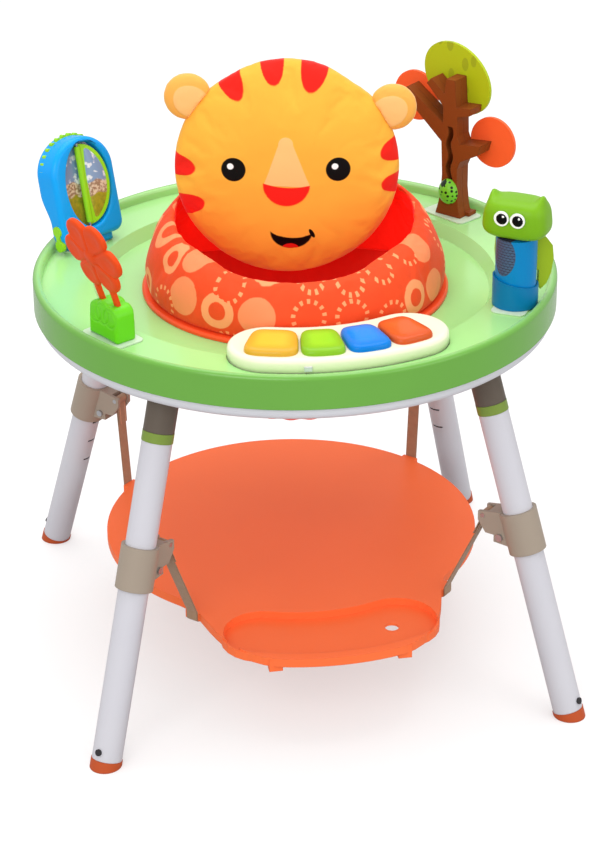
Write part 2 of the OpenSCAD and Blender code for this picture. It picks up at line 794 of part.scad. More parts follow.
module collar_pins(k) {
    head_h = 3;
    grip = arm_w / 2 + seat_gap;
    color(steel) {
        leg_bar(k, pin_r, pin_z, pin_d / 2, -grip, 2 * grip);
        leg_bar(k, clamp_r, clamp_z, clamp_d / 2, -grip - head_h / 2, 2 * grip + head_h);
        leg_bar(k, clamp_r, clamp_z, clamp_d, -grip - head_h, head_h);
        leg_bar(k, clamp_r, clamp_z, clamp_d * 0.9, grip, head_h);
    }
}

module footboard_straps() {
    under_z = board_z - skirt_h - seat_gap - strap_t / 2;
    color(webbing) for (k = [0 : 3]) {
        edge = lug_r(k) + seat_gap + strap_t / 2;
        path = [[pin_r, pin_z - (loop_in_r + loop_out_r) / 2], [edge, board_z + strap_t], [edge, under_z],
            [edge - strap_tail, under_z]];
        difference() {
            union() {
                leg_plate(k, strap_w) polygon(strip(path, strap_t));
                leg_bar(k, pin_r, pin_z, loop_out_r, -strap_w / 2, strap_w);
            }
            leg_bar(k, pin_r, pin_z, loop_in_r, -strap_w, 2 * strap_w);
        }
    }
}

module footboard() {
    bay_floor_z = board_z - foot_bay_depth;
    rib_z = board_z - skirt_h;
    rib_h = skirt_h - board_t / 2;
    rib_reach = board_r - skirt_t;
    lug_w = strap_w * 1.3;
    lug_l = strap_tail + lug_reach;
    tab_y = -sqrt(pow(lobe_r - skirt_t, 2) - pow(tab_x, 2)) - 1;
    color(orange) difference() {
        union() {
            translate([0, 0, board_z - board_t]) linear_extrude(board_t) polygon(board_outline(0));
            translate([0, 0, rib_z]) linear_extrude(rib_h) difference() {
                polygon(board_outline(0));
                polygon(board_outline(skirt_t));
            }
            translate([0, board_back, rib_z]) for (turn = [0, 60, 120]) rotate([0, 0, turn])
                translate([-rib_reach, -skirt_t / 2, 0]) cube([2 * rib_reach, skirt_t, rib_h]);
            translate([0, 0, bay_floor_z - board_t]) linear_extrude(foot_bay_depth + board_t / 2)
                polygon(bean(piano_in_r, piano_out_r, piano_half, drop_gap + skirt_t));
            for (k = [0 : 3]) rotate([0, 0, leg_turns[k]]) translate([lug_r(k) - lug_l, -lug_w / 2, rib_z])
                cube([lug_l, lug_w, skirt_h]);
            for (s = [-1, 1]) translate([s * tab_x - tab_w / 2, tab_y, rib_z - tab_drop])
                cube([tab_w, skirt_t + 8, rib_h + tab_drop]);
        }
        translate([0, 0, bay_floor_z]) linear_extrude(2 * foot_bay_depth)
            polygon(bean(piano_in_r, piano_out_r, piano_half, drop_gap));
        translate([locate_x, locate_y, rib_z - 2 * tab_drop])
            cylinder(d = locate_d, h = skirt_h + 3 * tab_drop);
    }
}

module seat_ring() {
    edge = 2.5;
    profile = [[ring_in_r, ring_bottom_z], [ring_out_r, ring_bottom_z], [ring_out_r, ring_z],
        [flange_r, ring_z], [flange_r, ring_top_z - edge], [flange_r - edge, ring_top_z],
        [ring_in_r, ring_top_z]];
    color(orange) rotate([0, 0, seat_turn]) difference() {
        rotate_extrude() polygon(profile);
        at_retainer_screws() cylinder(r = screw_hole_r, h = 12);
    }
}

module at_retainer_screws() {
    for (i = [0 : 5]) rotate([0, 0, i * 60])
        translate([retainer_screw_r, 0, ring_bottom_z - cut]) children();
}

module ring_retainer() {
    color(pale_grey) rotate([0, 0, seat_turn]) difference() {
        translate([0, 0, ring_bottom_z - seat_gap - retainer_h])
            ring((opening_r + post_in_r) / 2 + 2, ring_in_r, retainer_h);
        at_retainer_screws() translate([0, 0, -2 * retainer_h])
            cylinder(r = screw_hole_r, h = 3 * retainer_h);
    }
}

module retainer_screws() {
    color(steel) rotate([0, 0, seat_turn]) at_retainer_screws()
        translate([0, 0, cut - 2 * seat_gap - retainer_h]) screw(retainer_h + 9);
}

// Outer radius of the padded collar at height z
function pad_out_r(z) = pad_foot_r - pad_lean * (z - pad_z) - pad_curve * pow(z - pad_z, 2);
// Height of the padded collar's top at angle a of the seat
function pad_top_z(a) = lip_front_z + (lip_back_z - lip_front_z) * (1 + sin(a)) / 2;
// Thickness of the padded collar at angle a: thinner where the head cushion nests in it
function pad_depth(a) = pad_t - pad_t * nest_share * exp(-pow((asin(sin(a)) - nest_turn) / nest_spread, 2));
// Added thickness of the collar's lip at angle a: fullest on both sides of the front
function pad_swell(a) = pad_roll * exp(-pow((asin(sin(a)) + roll_turn) / roll_spread, 2));
// Point j of the rounded section at angle a
function pad_point(a, j, m) =
    let (turn = 360 * j / m, h = (1 + soft(sin(turn), 0.62)) / 2, w = soft(cos(turn), 0.62),
         z = pad_z + (pad_top_z(a) - pad_z) * h, out = pad_out_r(z),
         in = min(out - pad_depth(a) - pad_swell(a) * h, sin(a) > 0.2 ? back_y / sin(a) : out),
         r = (out + in) / 2 + w * (out - in) / 2)
    [r * cos(a), r * sin(a), z];

module seat_pad() {
    n = 60;
    m = 16;
    points = [for (i = [0 : n - 1], j = [0 : m - 1]) pad_point(360 * i / n, j, m)];
    faces = [for (i = [0 : n - 1], j = [0 : m - 1]) let (u = (i + 1) % n, v = (j + 1) % m)
        each [[i * m + j, i * m + v, u * m + v], [i * m + j, u * m + v, u * m + j]]];
    color(print_orange) rotate([0, 0, seat_turn]) polyhedron(points = points, faces = faces);
}

// Frame of the head cushion: +Z out of its face, +Y up
module at_head() {
    rotate([0, 0, seat_turn]) translate([-head_shift, head_y, head_z]) rotate([90, 0, 0])
        rotate([0, 0, -head_tilt]) children();
}

module head_cushion() {
    color(head_yellow) at_head() rotate_extrude() polygon(crown(head_r, head_t));
}

module head_ears() {
    color(head_yellow) at_head() for (a = [ear_angle, 180 - ear_angle]) difference() {
        translate(polar(ear_reach, a)) rotate_extrude() polygon(crown(ear_r, ear_t, 14));
        translate([0, 0, -ear_t]) cylinder(r = head_r + 0.4, h = 2 * ear_t);
    }
}

module seat_sling() {
    drop = sling_top_z - sling_band - sling_z;
    curve = [for (i = [0 : 10]) let (a = 9 * i)
        [sling_top_r - sling_draw * (1 - cos(a)), sling_top_z - sling_band - drop * sin(a)]];
    wall = [for (i = [0 : 10]) let (a = 9 * i)
        [sling_top_r - sling_t - sling_draw * (1 - cos(a)),
         sling_top_z - sling_band - (drop - sling_t) * sin(a)]];
    outer = concat([[sling_top_r, sling_top_z]], curve, [[0, sling_z]]);
    inner = concat([[sling_top_r - sling_t, sling_top_z]], wall, [[0, sling_z + sling_t]]);
    color(lining_red) rotate([0, 0, seat_turn]) difference() {
        rotate_extrude() polygon(concat(outer, [for (i = [len(inner) - 1 : -1 : 0]) inner[i]]));
        for (s = [-1, 1]) rotate([0, 0, -90 + s * leg_hole_turn])
            translate([crotch_w / 2, 0, sling_z + leg_hole_r + 12]) rotate([0, 90, 0])
                cylinder(r = leg_hole_r, h = opening_r);
    }
}

module crotch_pad() {
    color(lining_red) rotate([0, 0, seat_turn]) translate([0, 0, sling_z + sling_t + seat_gap])
        linear_extrude(crotch_t) polygon(round_box(crotch_w, crotch_l, 20));
}

// Width of key i across its middle
function key_width(i) =
    (key_in_r + key_out_r) * sin(key_pitch / 2) - key_gap + (i == 0 ? first_key_extra : 0);
// Angle of the middle of key i
function key_turn(i) =
    -90 + (i - 1.5) * key_pitch - (i == 0 ? asin(first_key_extra / (key_in_r + key_out_r)) : 0);

// Rounded plan of key i, inset all round
module key_plan(i, inset) {
    polygon(sector(key_in_r, key_out_r, key_turn(i), key_width(i), key_corner, inset));
}

module at_piano_screws() {
    for (a = [-piano_half - 9, 0, piano_half + 7]) rotate([0, 0, a - 90])
        translate([a == 0 ? piano_in_r + 13 : (piano_in_r + piano_out_r) / 2, 0, piano_z]) children();
}

module piano_case() {
    lower_z = piano_split_z + seat_gap;
    room = switch_travel + switch_slack;
    color(cream) at_piano() difference() {
        union() {
            difference() {
                translate([0, 0, lower_z]) linear_extrude(piano_top_z - lower_z)
                    polygon(bean(piano_in_r, piano_out_r, piano_half));
                translate([0, 0, lower_z - cut]) linear_extrude(piano_top_z - piano_wall - lower_z + cut)
                    polygon(bean(piano_in_r, piano_out_r, piano_half, -piano_wall));
            }
            at_piano_screws() translate([0, 0, lower_z - piano_z])
                cylinder(r = boss_r, h = piano_top_z - lower_z - cut);
        }
        for (i = [0 : 3]) translate([0, 0, piano_split_z]) linear_extrude(piano_h)
            key_plan(i, -key_hole_gap);
        at_piano_screws() cylinder(r = screw_hole_r, h = piano_split_z - piano_z + 8);
        rotate([0, 0, switch_turn])
            translate([piano_out_r - 4 * piano_wall, -switch_l / 2 - room, switch_z - switch_slack])
                cube([8 * piano_wall, switch_l + 2 * room, switch_h + 2 * switch_slack]);
    }
}

module piano_base() {
    color(cream) at_piano() difference() {
        translate([0, 0, piano_z]) linear_extrude(piano_split_z - piano_z)
            polygon(bean(piano_in_r, piano_out_r, piano_half));
        difference() {
            translate([0, 0, piano_floor_z]) linear_extrude(piano_h)
                polygon(bean(piano_in_r, piano_out_r, piano_half, -piano_wall));
            at_piano_screws() cylinder(r = boss_r, h = piano_split_z - piano_z);
        }
        at_piano_screws() translate([0, 0, -cut]) {
            cylinder(r = screw_hole_r, h = piano_h);
            cylinder(r = screw_head_r + 0.5, h = screw_head_h + 2 * cut);
        }
        piano_door_shape(door_gap, cut);
    }
}

// Battery door grown by a gap all round and lowered below the piano's foot
module piano_door_shape(grow, below) {
    rotate([0, 0, -90]) translate([(piano_in_r + piano_out_r) / 2 - 12, 0, piano_z - below])
        linear_extrude(piano_wall + below) polygon(round_box(door_w + 2 * grow, door_l + 2 * grow, 4));
}

module piano_door() {
    color(cream) at_piano() piano_door_shape(0, 0);
}

module piano_screws() {
    color(steel) at_piano() at_piano_screws() translate([0, 0, screw_head_h + cut - seat_gap])
        screw(piano_split_z - piano_z + 2);
}

module piano_circuit() {
    color(board_green) at_piano() difference() {
        union() {
            translate([0, 0, pcb_z]) linear_extrude(pcb_t)
                polygon(bean(key_in_r, key_out_r, piano_half - 3));
            for (a = [-18, -6, 6, 18]) rotate([0, 0, a - 90])
                translate([key_in_r + 6, 0, piano_floor_z + seat_gap])
                    cylinder(r = 3, h = pcb_z - piano_floor_z);
        }
        at_piano_screws() cylinder(r = boss_r + 1, h = piano_h);
        speaker_room(1);
    }
}

// Loudspeaker's cylinder grown by a gap
module speaker_room(grow) {
    rotate([0, 0, -90 + piano_half - 1]) translate([key_out_r - 22, 0, piano_floor_z + seat_gap])
        cylinder(r = speaker_r + grow, h = speaker_h + grow);
}

module piano_speaker() {
    color(dark_grey) at_piano() speaker_room(0);
}

module piano_domes() {
    dome_z = pcb_z + pcb_t + seat_gap;
    color(dark_grey) at_piano() for (i = [0 : 3]) rotate([0, 0, key_turn(i)])
        translate([key_in_r + 16, 0, dome_z])
            cylinder(r1 = dome_r, r2 = dome_r - 2, h = dome_top_z - dome_z);
}

module piano_switch() {
    inner_r = piano_out_r - piano_wall - 4;
    color(dark_grey) at_piano() rotate([0, 0, switch_turn]) {
        translate([inner_r, -switch_l / 2, switch_z]) cube([piano_wall + 6.5, switch_l, switch_h]);
        translate([inner_r, -switch_l / 2 - 2, switch_z - 2]) cube([3, switch_l + 4, switch_h + 4]);
    }
}

module key(i, tint) {
    steps = 3;
    shoulder = key_proud * 0.55;
    lip_z = piano_top_z - piano_wall - key_lip_t - seat_gap;
    color(tint) at_piano() {
        translate([0, 0, key_bottom_z]) linear_extrude(key_top_z - shoulder - key_bottom_z)
            key_plan(i, 0);
        for (j = [1 : steps]) translate([0, 0, key_top_z - shoulder - 0.5])
            linear_extrude(0.5 + shoulder * sqrt(j / steps))
                key_plan(i, 1.6 * pow(j, 1.4));
        translate([0, 0, lip_z]) linear_extrude(key_lip_t)
            key_plan(i, -key_lip);
    }
}

module toy_plates() {
    color(pale_grey) for (k = [0 : 3]) at_toy(k) {
        translate([0, 0, -plate_t]) linear_extrude(plate_t - seat_gap)
            polygon(round_box(plate_l, plate_w, 8));
        translate([0, 0, -plug_h]) linear_extrude(plug_h - plate_t + cut)
            polygon(round_box(plug_l, plug_w, 4));
    }
}

module toy_pins() {
    color(steel) {
        at_turner() {
            translate([0, page_y, window_z - window_b - spindle_over])
                cylinder(d = spindle_d, h = 2 * (window_b + spindle_over));
            translate([0, cut, wheel_z]) rotate([-90, 0, 0]) cylinder(d = axle_d, h = case_half - 3);
        }
        at_toy(2) translate([-pin_end, 0, pivot_h]) rotate([0, 90, 0]) cylinder(d = pivot_d, h = 2 * pin_end);
    }
}

// Frame of the tree: its slot runs up from the origin, its face is on -Y
module at_tree() {
    at_toy(0, tree_turn) translate([tree_shift, 0, 0]) children();
}

// Outline of the trunk with its branches and twigs, in the tree's own upright plane
module trunk_outline() {
    t = trunk_h;
    polygon([[-22, 0], [20, 0], [16, 0.07 * t], [13, 0.2 * t], [13, 0.36 * t], [18, 0.42 * t], [47, 0.5 * t],
        [51, 0.57 * t], [17, 0.55 * t], [13, 0.6 * t], [12, 0.74 * t], [32, 0.77 * t], [33, 0.82 * t],
        [10, 0.81 * t], [7, t], [-8, t], [-10, 0.89 * t], [-33, 0.98 * t], [-40, 0.94 * t], [-12, 0.8 * t],
        [-12, 0.68 * t], [-73, 0.88 * t], [-82, 0.83 * t], [-14, 0.54 * t], [-12, 0.3 * t], [-14, 0.15 * t],
        [-18, 0.07 * t]]);
}

// Upright slab of the tree from depth y0 to y1: drawn y is height
module tree_slab(y0, y1) {
    translate([0, y1, 0]) rotate([90, 0, 0]) linear_extrude(y1 - y0) children();
}

module tree_trunk() {
    waves = 2.5;
    steps = 40;
    run = bug_travel + 8;
    side_points = [for (i = [0 : steps])
        [slot_wave * sin(360 * waves * i / steps), slot_low_z + run * i / steps]];
    color(trunk_brown) at_tree() difference() {
        tree_slab(-trunk_half, -seat_gap / 2) trunk_outline();
        tree_slab(-2 * trunk_half, cut) polygon(concat([for (p = side_points) p + [slot_run_w / 2, 0]],
            [for (i = [steps : -1 : 0]) side_points[i] - [slot_run_w / 2, 0]]));
    }
}

module tree_back() {
    room = catch_r + 1;
    color(trunk_brown) at_tree() difference() {
        union() {
            tree_slab(seat_gap / 2, trunk_half) trunk_outline();
            tree_slab(seat_gap / 2, trunk_half + 3) translate([-26, 0]) square([52, 5]);
        }
        tree_slab(-cut, catch_t + 2) translate([-room, peg_low_z - room])
            square([2 * room, bug_travel + 2 * room]);
    }
}

// Oval top leaf grown by a margin
module top_leaf(grow = 0) {
    translate([top_leaf_x, top_leaf_z]) rotate(top_leaf_lean)
        polygon(oval([0, 0], top_leaf_a + grow, top_leaf_b + grow));
}

module tree_leaf_top() {
    color(olive) at_tree() tree_slab(trunk_half + seat_gap, trunk_half + leaf_t) top_leaf();
}

module tree_leaves() {
    color(orange) at_tree() tree_slab(trunk_half + seat_gap, trunk_half + leaf_t) difference() {
        union() {
            translate([-78, 0.77 * trunk_h]) circle(r = leaf_r);
            translate([52, 0.56 * trunk_h]) circle(r = leaf_r);
        }
        top_leaf(2 * seat_gap);
    }
}

module tree_bug() {
    face_y = -trunk_half - seat_gap;
    steps = 14;
    outline = [for (i = [0 : steps]) let (a = -90 + 180 * i / steps)
        [i == 0 || i == steps ? 0 : bug_w / 2 * cos(a), bug_tall / 2 * sin(a)]];
    color(lime) at_tree() {
        intersection() {
            translate([0, face_y + 2, bug_z]) rotate_extrude() polygon(outline);
            translate([-bug_w, face_y - bug_w, bug_z - bug_tall]) cube([2 * bug_w, bug_w, 2 * bug_tall]);
        }
        translate([0, face_y - 2, peg_low_z]) rotate([-90, 0, 0])
            cylinder(r = peg_r, h = trunk_half + catch_t + 2.5);
        translate([0, 0.6, peg_low_z]) rotate([-90, 0, 0]) cylinder(r = catch_r, h = catch_t);
    }
}

module owl_base() {
    color(case_blue) at_toy(1) {
        cylinder(r = cup_out_r, h = drum_z - seat_gap);
        cylinder(r = spindle_r, h = drum_z + drum_h - 4);
        difference() {
            ring(cup_out_r, cup_in_r, 2 * cup_h);
            translate([0, 0, cup_h]) rotate([0, 0, cup_low_turn]) rotate([0, cup_slant, 0])
                translate([-2 * cup_h, -2 * cup_h, 0]) cube([4 * cup_h, 4 * cup_h, 2 * cup_h]);
        }
    }
}

module owl_drum() {
    color(case_blue) at_toy(1, owl_turn) difference() {
        translate([0, 0, drum_z]) cylinder(r = drum_r, h = drum_h);
        translate([0, 0, drum_z - cut]) cylinder(r = spindle_r + run_gap, h = drum_h - 2);
    }
}

module owl_head() {
    x = owl_head_w / 2 - owl_head_round;
    y = owl_head_d / 2 - owl_head_round;
    color(owl_green) at_toy(1, owl_turn) translate([0, 0, owl_head_z]) hull() {
        for (sx = [-1, 1], sy = [-1, 1]) {
            translate([sx * x, sy * y, owl_head_round]) sphere(r = owl_head_round, $fn = 24);
            translate([sx * (x - 3), sy * y, owl_head_h - owl_head_round - 4])
                sphere(r = owl_head_round, $fn = 24);
            translate([sx * (x + 4), 0, owl_head_h - 6]) sphere(r = 6, $fn = 16);
        }
    }
}

module owl_wings() {
    over_cup = cup_h + cup_out_r * tan(cup_slant) + 3;
    tip = drum_r + wing_reach;
    inner = cup_out_r + 0.6;
    color(lime) at_toy(1, owl_turn) for (s = [0, 1]) mirror([s, 0, 0]) rotate([0, 0, wing_sweep])
        difference() {
            translate([0, wing_t / 2, 0]) rotate([90, 0, 0]) linear_extrude(wing_t)
                polygon([[drum_r - 2, drum_h], [drum_r + wing_reach * 0.55, drum_h - 2],
                    [tip - 2, drum_h - 14], [tip, drum_h * 0.65], [tip - 3, drum_h * 0.42],
                    [tip - 9, drum_h * 0.26], [inner + 3, drum_h * 0.18], [inner, drum_h * 0.25],
                    [inner, over_cup],
                    [drum_r - 2, over_cup]]);
            cylinder(r = drum_r + seat_gap, h = 2 * drum_h);
        }
}

module owl_eyes() {
    color(cream) at_toy(1, owl_turn) for (s = [-1, 1])
        translate([s * (eye_r + 0.8), -owl_head_d / 2 - seat_gap, owl_head_z + owl_head_h * 0.6])
            rotate([90, 0, 0]) cylinder(r = eye_r, h = eye_t);
}

module flower_block() {
    slot_w_all = loop_w + 2 * leg_slot_gap;
    slot_d = block_d - 8;
    x = block_l / 2;
    color(lime) at_toy(2) difference() {
        translate([0, block_d / 2, 0]) rotate([90, 0, 0]) linear_extrude(block_d) union() {
            translate([-x, 0]) square([block_l, pivot_h - 8]);
            translate([-x + 14, pivot_h - 7]) circle(r = 13.9);
            translate([0, pivot_h - 4]) circle(r = 15);
            translate([x - 14, pivot_h - 7]) circle(r = 13.9);
        }
        for (s = [-1, 1]) translate([s * loop_x - slot_w_all / 2, -slot_d / 2, pivot_h - loop_w])
            cube([slot_w_all, slot_d, pivot_h]);
        translate([-pin_end - seat_gap, 0, pivot_h]) rotate([0, 90, 0])
            cylinder(r = pivot_d / 2 + run_gap, h = 2 * (pin_end + seat_gap));
    }
}

module flower_petals() {
    leg_t = 7;
    color(orange) at_toy(2) translate([0, 0, pivot_h]) rotate([-flower_lean, 0, 0]) difference() {
        union() {
            translate([0, 0, flower_rise]) rotate([90, 0, 0]) linear_extrude(flower_t, center = true) {
                circle(r = petal_reach);
                for (i = [0 : 5]) translate(polar(petal_reach, 60 * i)) circle(r = petal_r);
            }
            for (s = [-1, 1]) translate([s * loop_x - loop_w / 2, 0, 0]) {
                translate([0, -leg_t / 2, 0]) cube([loop_w, leg_t, flower_rise - petal_reach]);
                rotate([0, 90, 0]) cylinder(r = leg_t / 2 + 1, h = loop_w);
            }
        }
        translate([-block_l, 0, 0]) rotate([0, 90, 0])
            cylinder(r = pivot_d / 2 + run_gap, h = 2 * block_l);
    }
}

// Frame of the page turner's case: origin at its foot, -Y out of its window, +Z up its lean
module at_turner() {
    at_toy(3, case_turn) translate([0, 0, stem_h]) rotate([-case_lean, 0, 0]) children();
}

// Upright slab in the page turner's frame from depth y0 to y1: drawn y is height
module turner_sheet(y0, y1) {
    translate([0, y1, 0]) rotate([90, 0, 0]) linear_extrude(y1 - y0) children();
}

// One half of the case with its stem, cut off level on the plate
module turner_half(y0, y1) {
    x = case_w / 2;
    outline = concat(arc([x - case_low_r, case_low_r], case_low_r, 270, 360, 6),
        arc([0, case_h - x], x, 0, 180, 24),
        arc([case_low_r - x, case_low_r], case_low_r, 180, 270, 6));
    difference() {
        at_turner() {
            turner_sheet(y0, y1) polygon(outline);
            turner_sheet(max(y0, -stem_half), min(y1, waist_half))
                translate([-stem_w / 2, -2 * stem_h]) square([stem_w, 2 * stem_h + case_low_r]);
        }
        at_toy(3) translate([-case_w, -case_w, -case_w]) cube([2 * case_w, 2 * case_w, case_w]);
    }
}

module turner_knob_hole() {
    translate([-case_w / 2 - cut, -knob_y, knob_z]) rotate([0, 90, 0])
        cylinder(r = knob_shaft_r + run_gap, h = knob_depth + 1.5 * cut);
}

module turner_front() {
    spindle_l = 2 * (window_b + spindle_over + seat_gap);
    color(case_blue) difference() {
        union() {
            turner_half(-case_half, -seat_gap / 2);
            at_turner() translate([-case_w / 2, -knob_y, knob_z]) rotate([0, 90, 0])
                cylinder(r = knob_boss_r, h = knob_boss_l);
        }
        at_turner() {
            turner_sheet(-2 * case_half, -case_half + window_depth)
                polygon(oval([window_x, window_z], window_a, window_b));
            translate([0, page_y, window_z - spindle_l / 2])
                cylinder(r = spindle_d / 2 + run_gap, h = spindle_l);
            turner_knob_hole();
        }
    }
}

module turner_back() {
    color(case_blue) difference() {
        turner_half(seat_gap / 2, case_half);
        at_turner() {
            translate([0, wheel_y - wheel_room, wheel_z]) rotate([-90, 0, 0])
                cylinder(r = wheel_r + tooth_r + wheel_room, h = wheel_t + 2 * wheel_room);
            translate([0, -cut, wheel_z]) rotate([-90, 0, 0])
                cylinder(r = axle_d / 2 + run_gap, h = case_half - 1 + cut);
            rotate([90, 0, 90]) translate([0, 0, -case_w]) linear_extrude(2 * case_w)
                polygon([[waist_half, -case_h], [waist_half, waist_z], [case_half + cut, waist_end_z],
                    [2 * case_half, waist_end_z], [2 * case_half, -case_h]]);
        }
    }
}

module turner_picture() {
    floor_y = -case_half + window_depth - seat_gap;
    color(cream) at_turner() turner_sheet(floor_y - picture_t, floor_y)
        polygon(oval([window_x, window_z], window_a - 0.5, window_b - 0.5));
}

module turner_page() {
    barrel_l = 2 * page_b - 6;
    color(lime) at_turner() translate([0, page_y, window_z]) rotate([0, 0, -page_angle]) difference() {
        union() {
            turner_sheet(-page_t / 2, page_t / 2) polygon(oval([0, 0], page_a, page_b, -90, 90, 24));
            translate([0, 0, -barrel_l / 2]) cylinder(r = barrel_r, h = barrel_l);
        }
        translate([0, 0, -2 * page_b]) cylinder(r = spindle_d / 2 + run_gap, h = 4 * page_b);
    }
}

module turner_wheel() {
    color(lime) at_turner() translate([0, wheel_y, wheel_z]) rotate([-90, 0, 0]) difference() {
        union() {
            cylinder(r = wheel_r, h = wheel_t);
            for (i = [0 : tooth_count - 1]) rotate([0, 0, i * 360 / tooth_count]) translate([wheel_r, 0, 0])
                cylinder(r = tooth_r, h = wheel_t);
        }
        translate([0, 0, -cut]) cylinder(r = axle_d / 2 + run_gap, h = wheel_t + 2 * cut);
    }
}

module turner_knob() {
    color(lime) at_turner() translate([-case_w / 2 - seat_gap, -knob_y, knob_z]) rotate([0, -90, 0]) {
        linear_extrude(knob_t) union() {
            for (s = [-1, 1]) translate([s * lobe_knob_reach, 0]) circle(r = lobe_knob_r);
            square([2 * lobe_knob_reach, lobe_knob_r], center = true);
        }
        translate([0, 0, -knob_depth]) cylinder(r = knob_shaft_r, h = knob_depth + knob_t / 2);
    }
}

tray_top();
tray_base();
frame_screws();
leg_sockets();
leg_bands();
leg_tube(0);  // leg_tube_fl
leg_tube(1);  // leg_tube_fr
leg_tube(2);  // leg_tube_bl
leg_tube(3);  // leg_tube_br
leg_feet();
leg_collar(0);  // leg_collar_fl
leg_collar(1);  // leg_collar_fr
leg_collar(2);  // leg_collar_bl
leg_collar(3);  // leg_collar_br
collar_pins(0);  // collar_pins_fl
collar_pins(1);  // collar_pins_fr
collar_pins(2);  // collar_pins_bl
collar_pins(3);  // collar_pins_br
footboard();
footboard_straps();
seat_ring();
ring_retainer();
retainer_screws();
seat_pad();
head_cushion();
head_ears();
seat_sling();
crotch_pad();
piano_case();
piano_base();
piano_circuit();
piano_speaker();
piano_door();
piano_screws();
piano_domes();
piano_switch();
key(0, key_yellow);
key(1, lime);  // key_lime
key(2, key_blue);
key(3, orange);  // key_orange
toy_plates();
toy_pins();
tree_trunk();
tree_back();
tree_leaf_top();
tree_leaves();
tree_bug();
owl_base();
owl_drum();
owl_head();
owl_wings();
owl_eyes();
flower_block();
flower_petals();
turner_front();
turner_back();
turner_picture();
turner_page();
turner_wheel();
turner_knob();
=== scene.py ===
"""Looks of a baby jumper activity center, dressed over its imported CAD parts.

Everything is in metres in the CAD frame: +Z up, the tray's axis on Z, the front of the seat towards -Y.
Angles that a class holds are in degrees.
"""

import logging
import math
from dataclasses import dataclass
from enum import Enum
from typing import Callable, ClassVar, Optional, Sequence, Union

import bpy
import numpy as np
from mathutils import Matrix, Vector

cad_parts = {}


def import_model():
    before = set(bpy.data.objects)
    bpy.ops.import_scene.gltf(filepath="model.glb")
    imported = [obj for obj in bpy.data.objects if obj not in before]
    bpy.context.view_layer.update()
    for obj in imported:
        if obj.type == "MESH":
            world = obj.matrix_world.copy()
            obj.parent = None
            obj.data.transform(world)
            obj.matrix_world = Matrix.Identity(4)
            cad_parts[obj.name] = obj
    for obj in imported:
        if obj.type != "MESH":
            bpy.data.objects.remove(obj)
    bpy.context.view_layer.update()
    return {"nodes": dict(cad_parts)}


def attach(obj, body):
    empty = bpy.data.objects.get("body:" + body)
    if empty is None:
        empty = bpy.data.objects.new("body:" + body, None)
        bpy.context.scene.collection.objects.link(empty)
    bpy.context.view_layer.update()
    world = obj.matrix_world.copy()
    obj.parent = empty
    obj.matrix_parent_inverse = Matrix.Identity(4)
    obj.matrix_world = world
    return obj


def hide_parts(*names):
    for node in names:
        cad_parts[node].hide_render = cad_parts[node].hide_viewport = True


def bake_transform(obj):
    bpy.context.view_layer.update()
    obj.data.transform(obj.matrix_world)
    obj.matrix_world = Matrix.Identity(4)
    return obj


LOG = logging.getLogger("activity_center")
MM = 0.001
WAVE_LENGTH = math.tau / 20.0  # length of a band of the Wave texture at scale 1
TINY = 1e-9  # keeps a divisor off zero
FLATTENED = 1e6  # unit of an axis that has no say in a length
SKIN_SCALE = 1400.0  # grains a metre of moulded skin
PILE_SCALE = 700.0  # tufts a metre of soft pile
Piece = bpy.types.Object
Material = bpy.types.Material
Socket = bpy.types.NodeSocket
Value = Union[float, Socket]
Numbers = Union[float, np.ndarray]
Pair = tuple[float, float]
Triple = tuple[float, float, float]
Rows = tuple[tuple[float, ...], ...]
Colour = Triple
WHITE: Colour = (1.0, 1.0, 1.0)
LEGS = ("fl", "fr", "bl", "br")


def linear(red: int, green: int, blue: int) -> Colour:
    """Turn a screen colour into the linear colour that shaders take.

    Args:
        red, green, blue: Screen values from 0 to 255.

    Returns:
        The three linear values.
    """
    share = np.array([red, green, blue]) / 255.0
    low, high = share / 12.92, ((share + 0.055) / 1.055) ** 2.4
    return tuple(float(v) for v in np.where(share <= 0.04045, low, high))


def shade(colour: Colour, factor: float) -> Colour:
    """Return the colour made darker or lighter by a factor, at most 1 a channel."""
    return tuple(min(1.0, c * factor) for c in colour)


def polar(reach: float, degrees: float) -> np.ndarray:
    """Return the flat point at that reach and angle from the origin."""
    return reach * np.array([math.cos(math.radians(degrees)), math.sin(math.radians(degrees))])


def turn_z(points: np.ndarray, degrees: float) -> np.ndarray:
    """Return points turned about Z by that many degrees."""
    c, s = polar(1.0, degrees)
    return points @ np.array([[c, s, 0.0], [-s, c, 0.0], [0.0, 0.0, 1.0]])


def turn_x(points: np.ndarray, degrees: float) -> np.ndarray:
    """Return points turned about X by that many degrees."""
    c, s = polar(1.0, degrees)
    return points @ np.array([[1.0, 0.0, 0.0], [0.0, c, s], [0.0, -s, c]])


def signed_power(base: np.ndarray, power: float) -> np.ndarray:
    """Return base raised to a power with its sign kept."""
    return np.sign(base) * np.abs(base) ** power


def rounded(turn: np.ndarray, power: float) -> tuple[np.ndarray, np.ndarray]:
    """Return a rounded square's X and Y at each angle: powers of the cosine and of the sine."""
    return signed_power(np.cos(turn), power), signed_power(np.sin(turn), power)


def bell(away: np.ndarray, width: float, power: int = 2) -> np.ndarray:
    """Return a bell curve: 1 at 0, falling off over a width, flatter on top for a higher even power."""
    return np.exp(-(away / width) ** power)


def full_turn(count: int) -> np.ndarray:
    """Return that many angles, evenly round a full turn."""
    return np.linspace(0.0, math.tau, count, endpoint=False)


def quarter_turn(count: int) -> np.ndarray:
    """Return that many angles, evenly from 0 to a quarter turn."""
    return np.linspace(0.0, math.pi / 2.0, count)


def ball_grid(around: int, levels: int) -> tuple[np.ndarray, np.ndarray]:
    """Return the angles round and up of a ball's rings, from low to high, without its two poles."""
    return tuple(np.meshgrid(full_turn(around), np.linspace(-math.pi / 2.0, math.pi / 2.0, levels)[1:-1]))


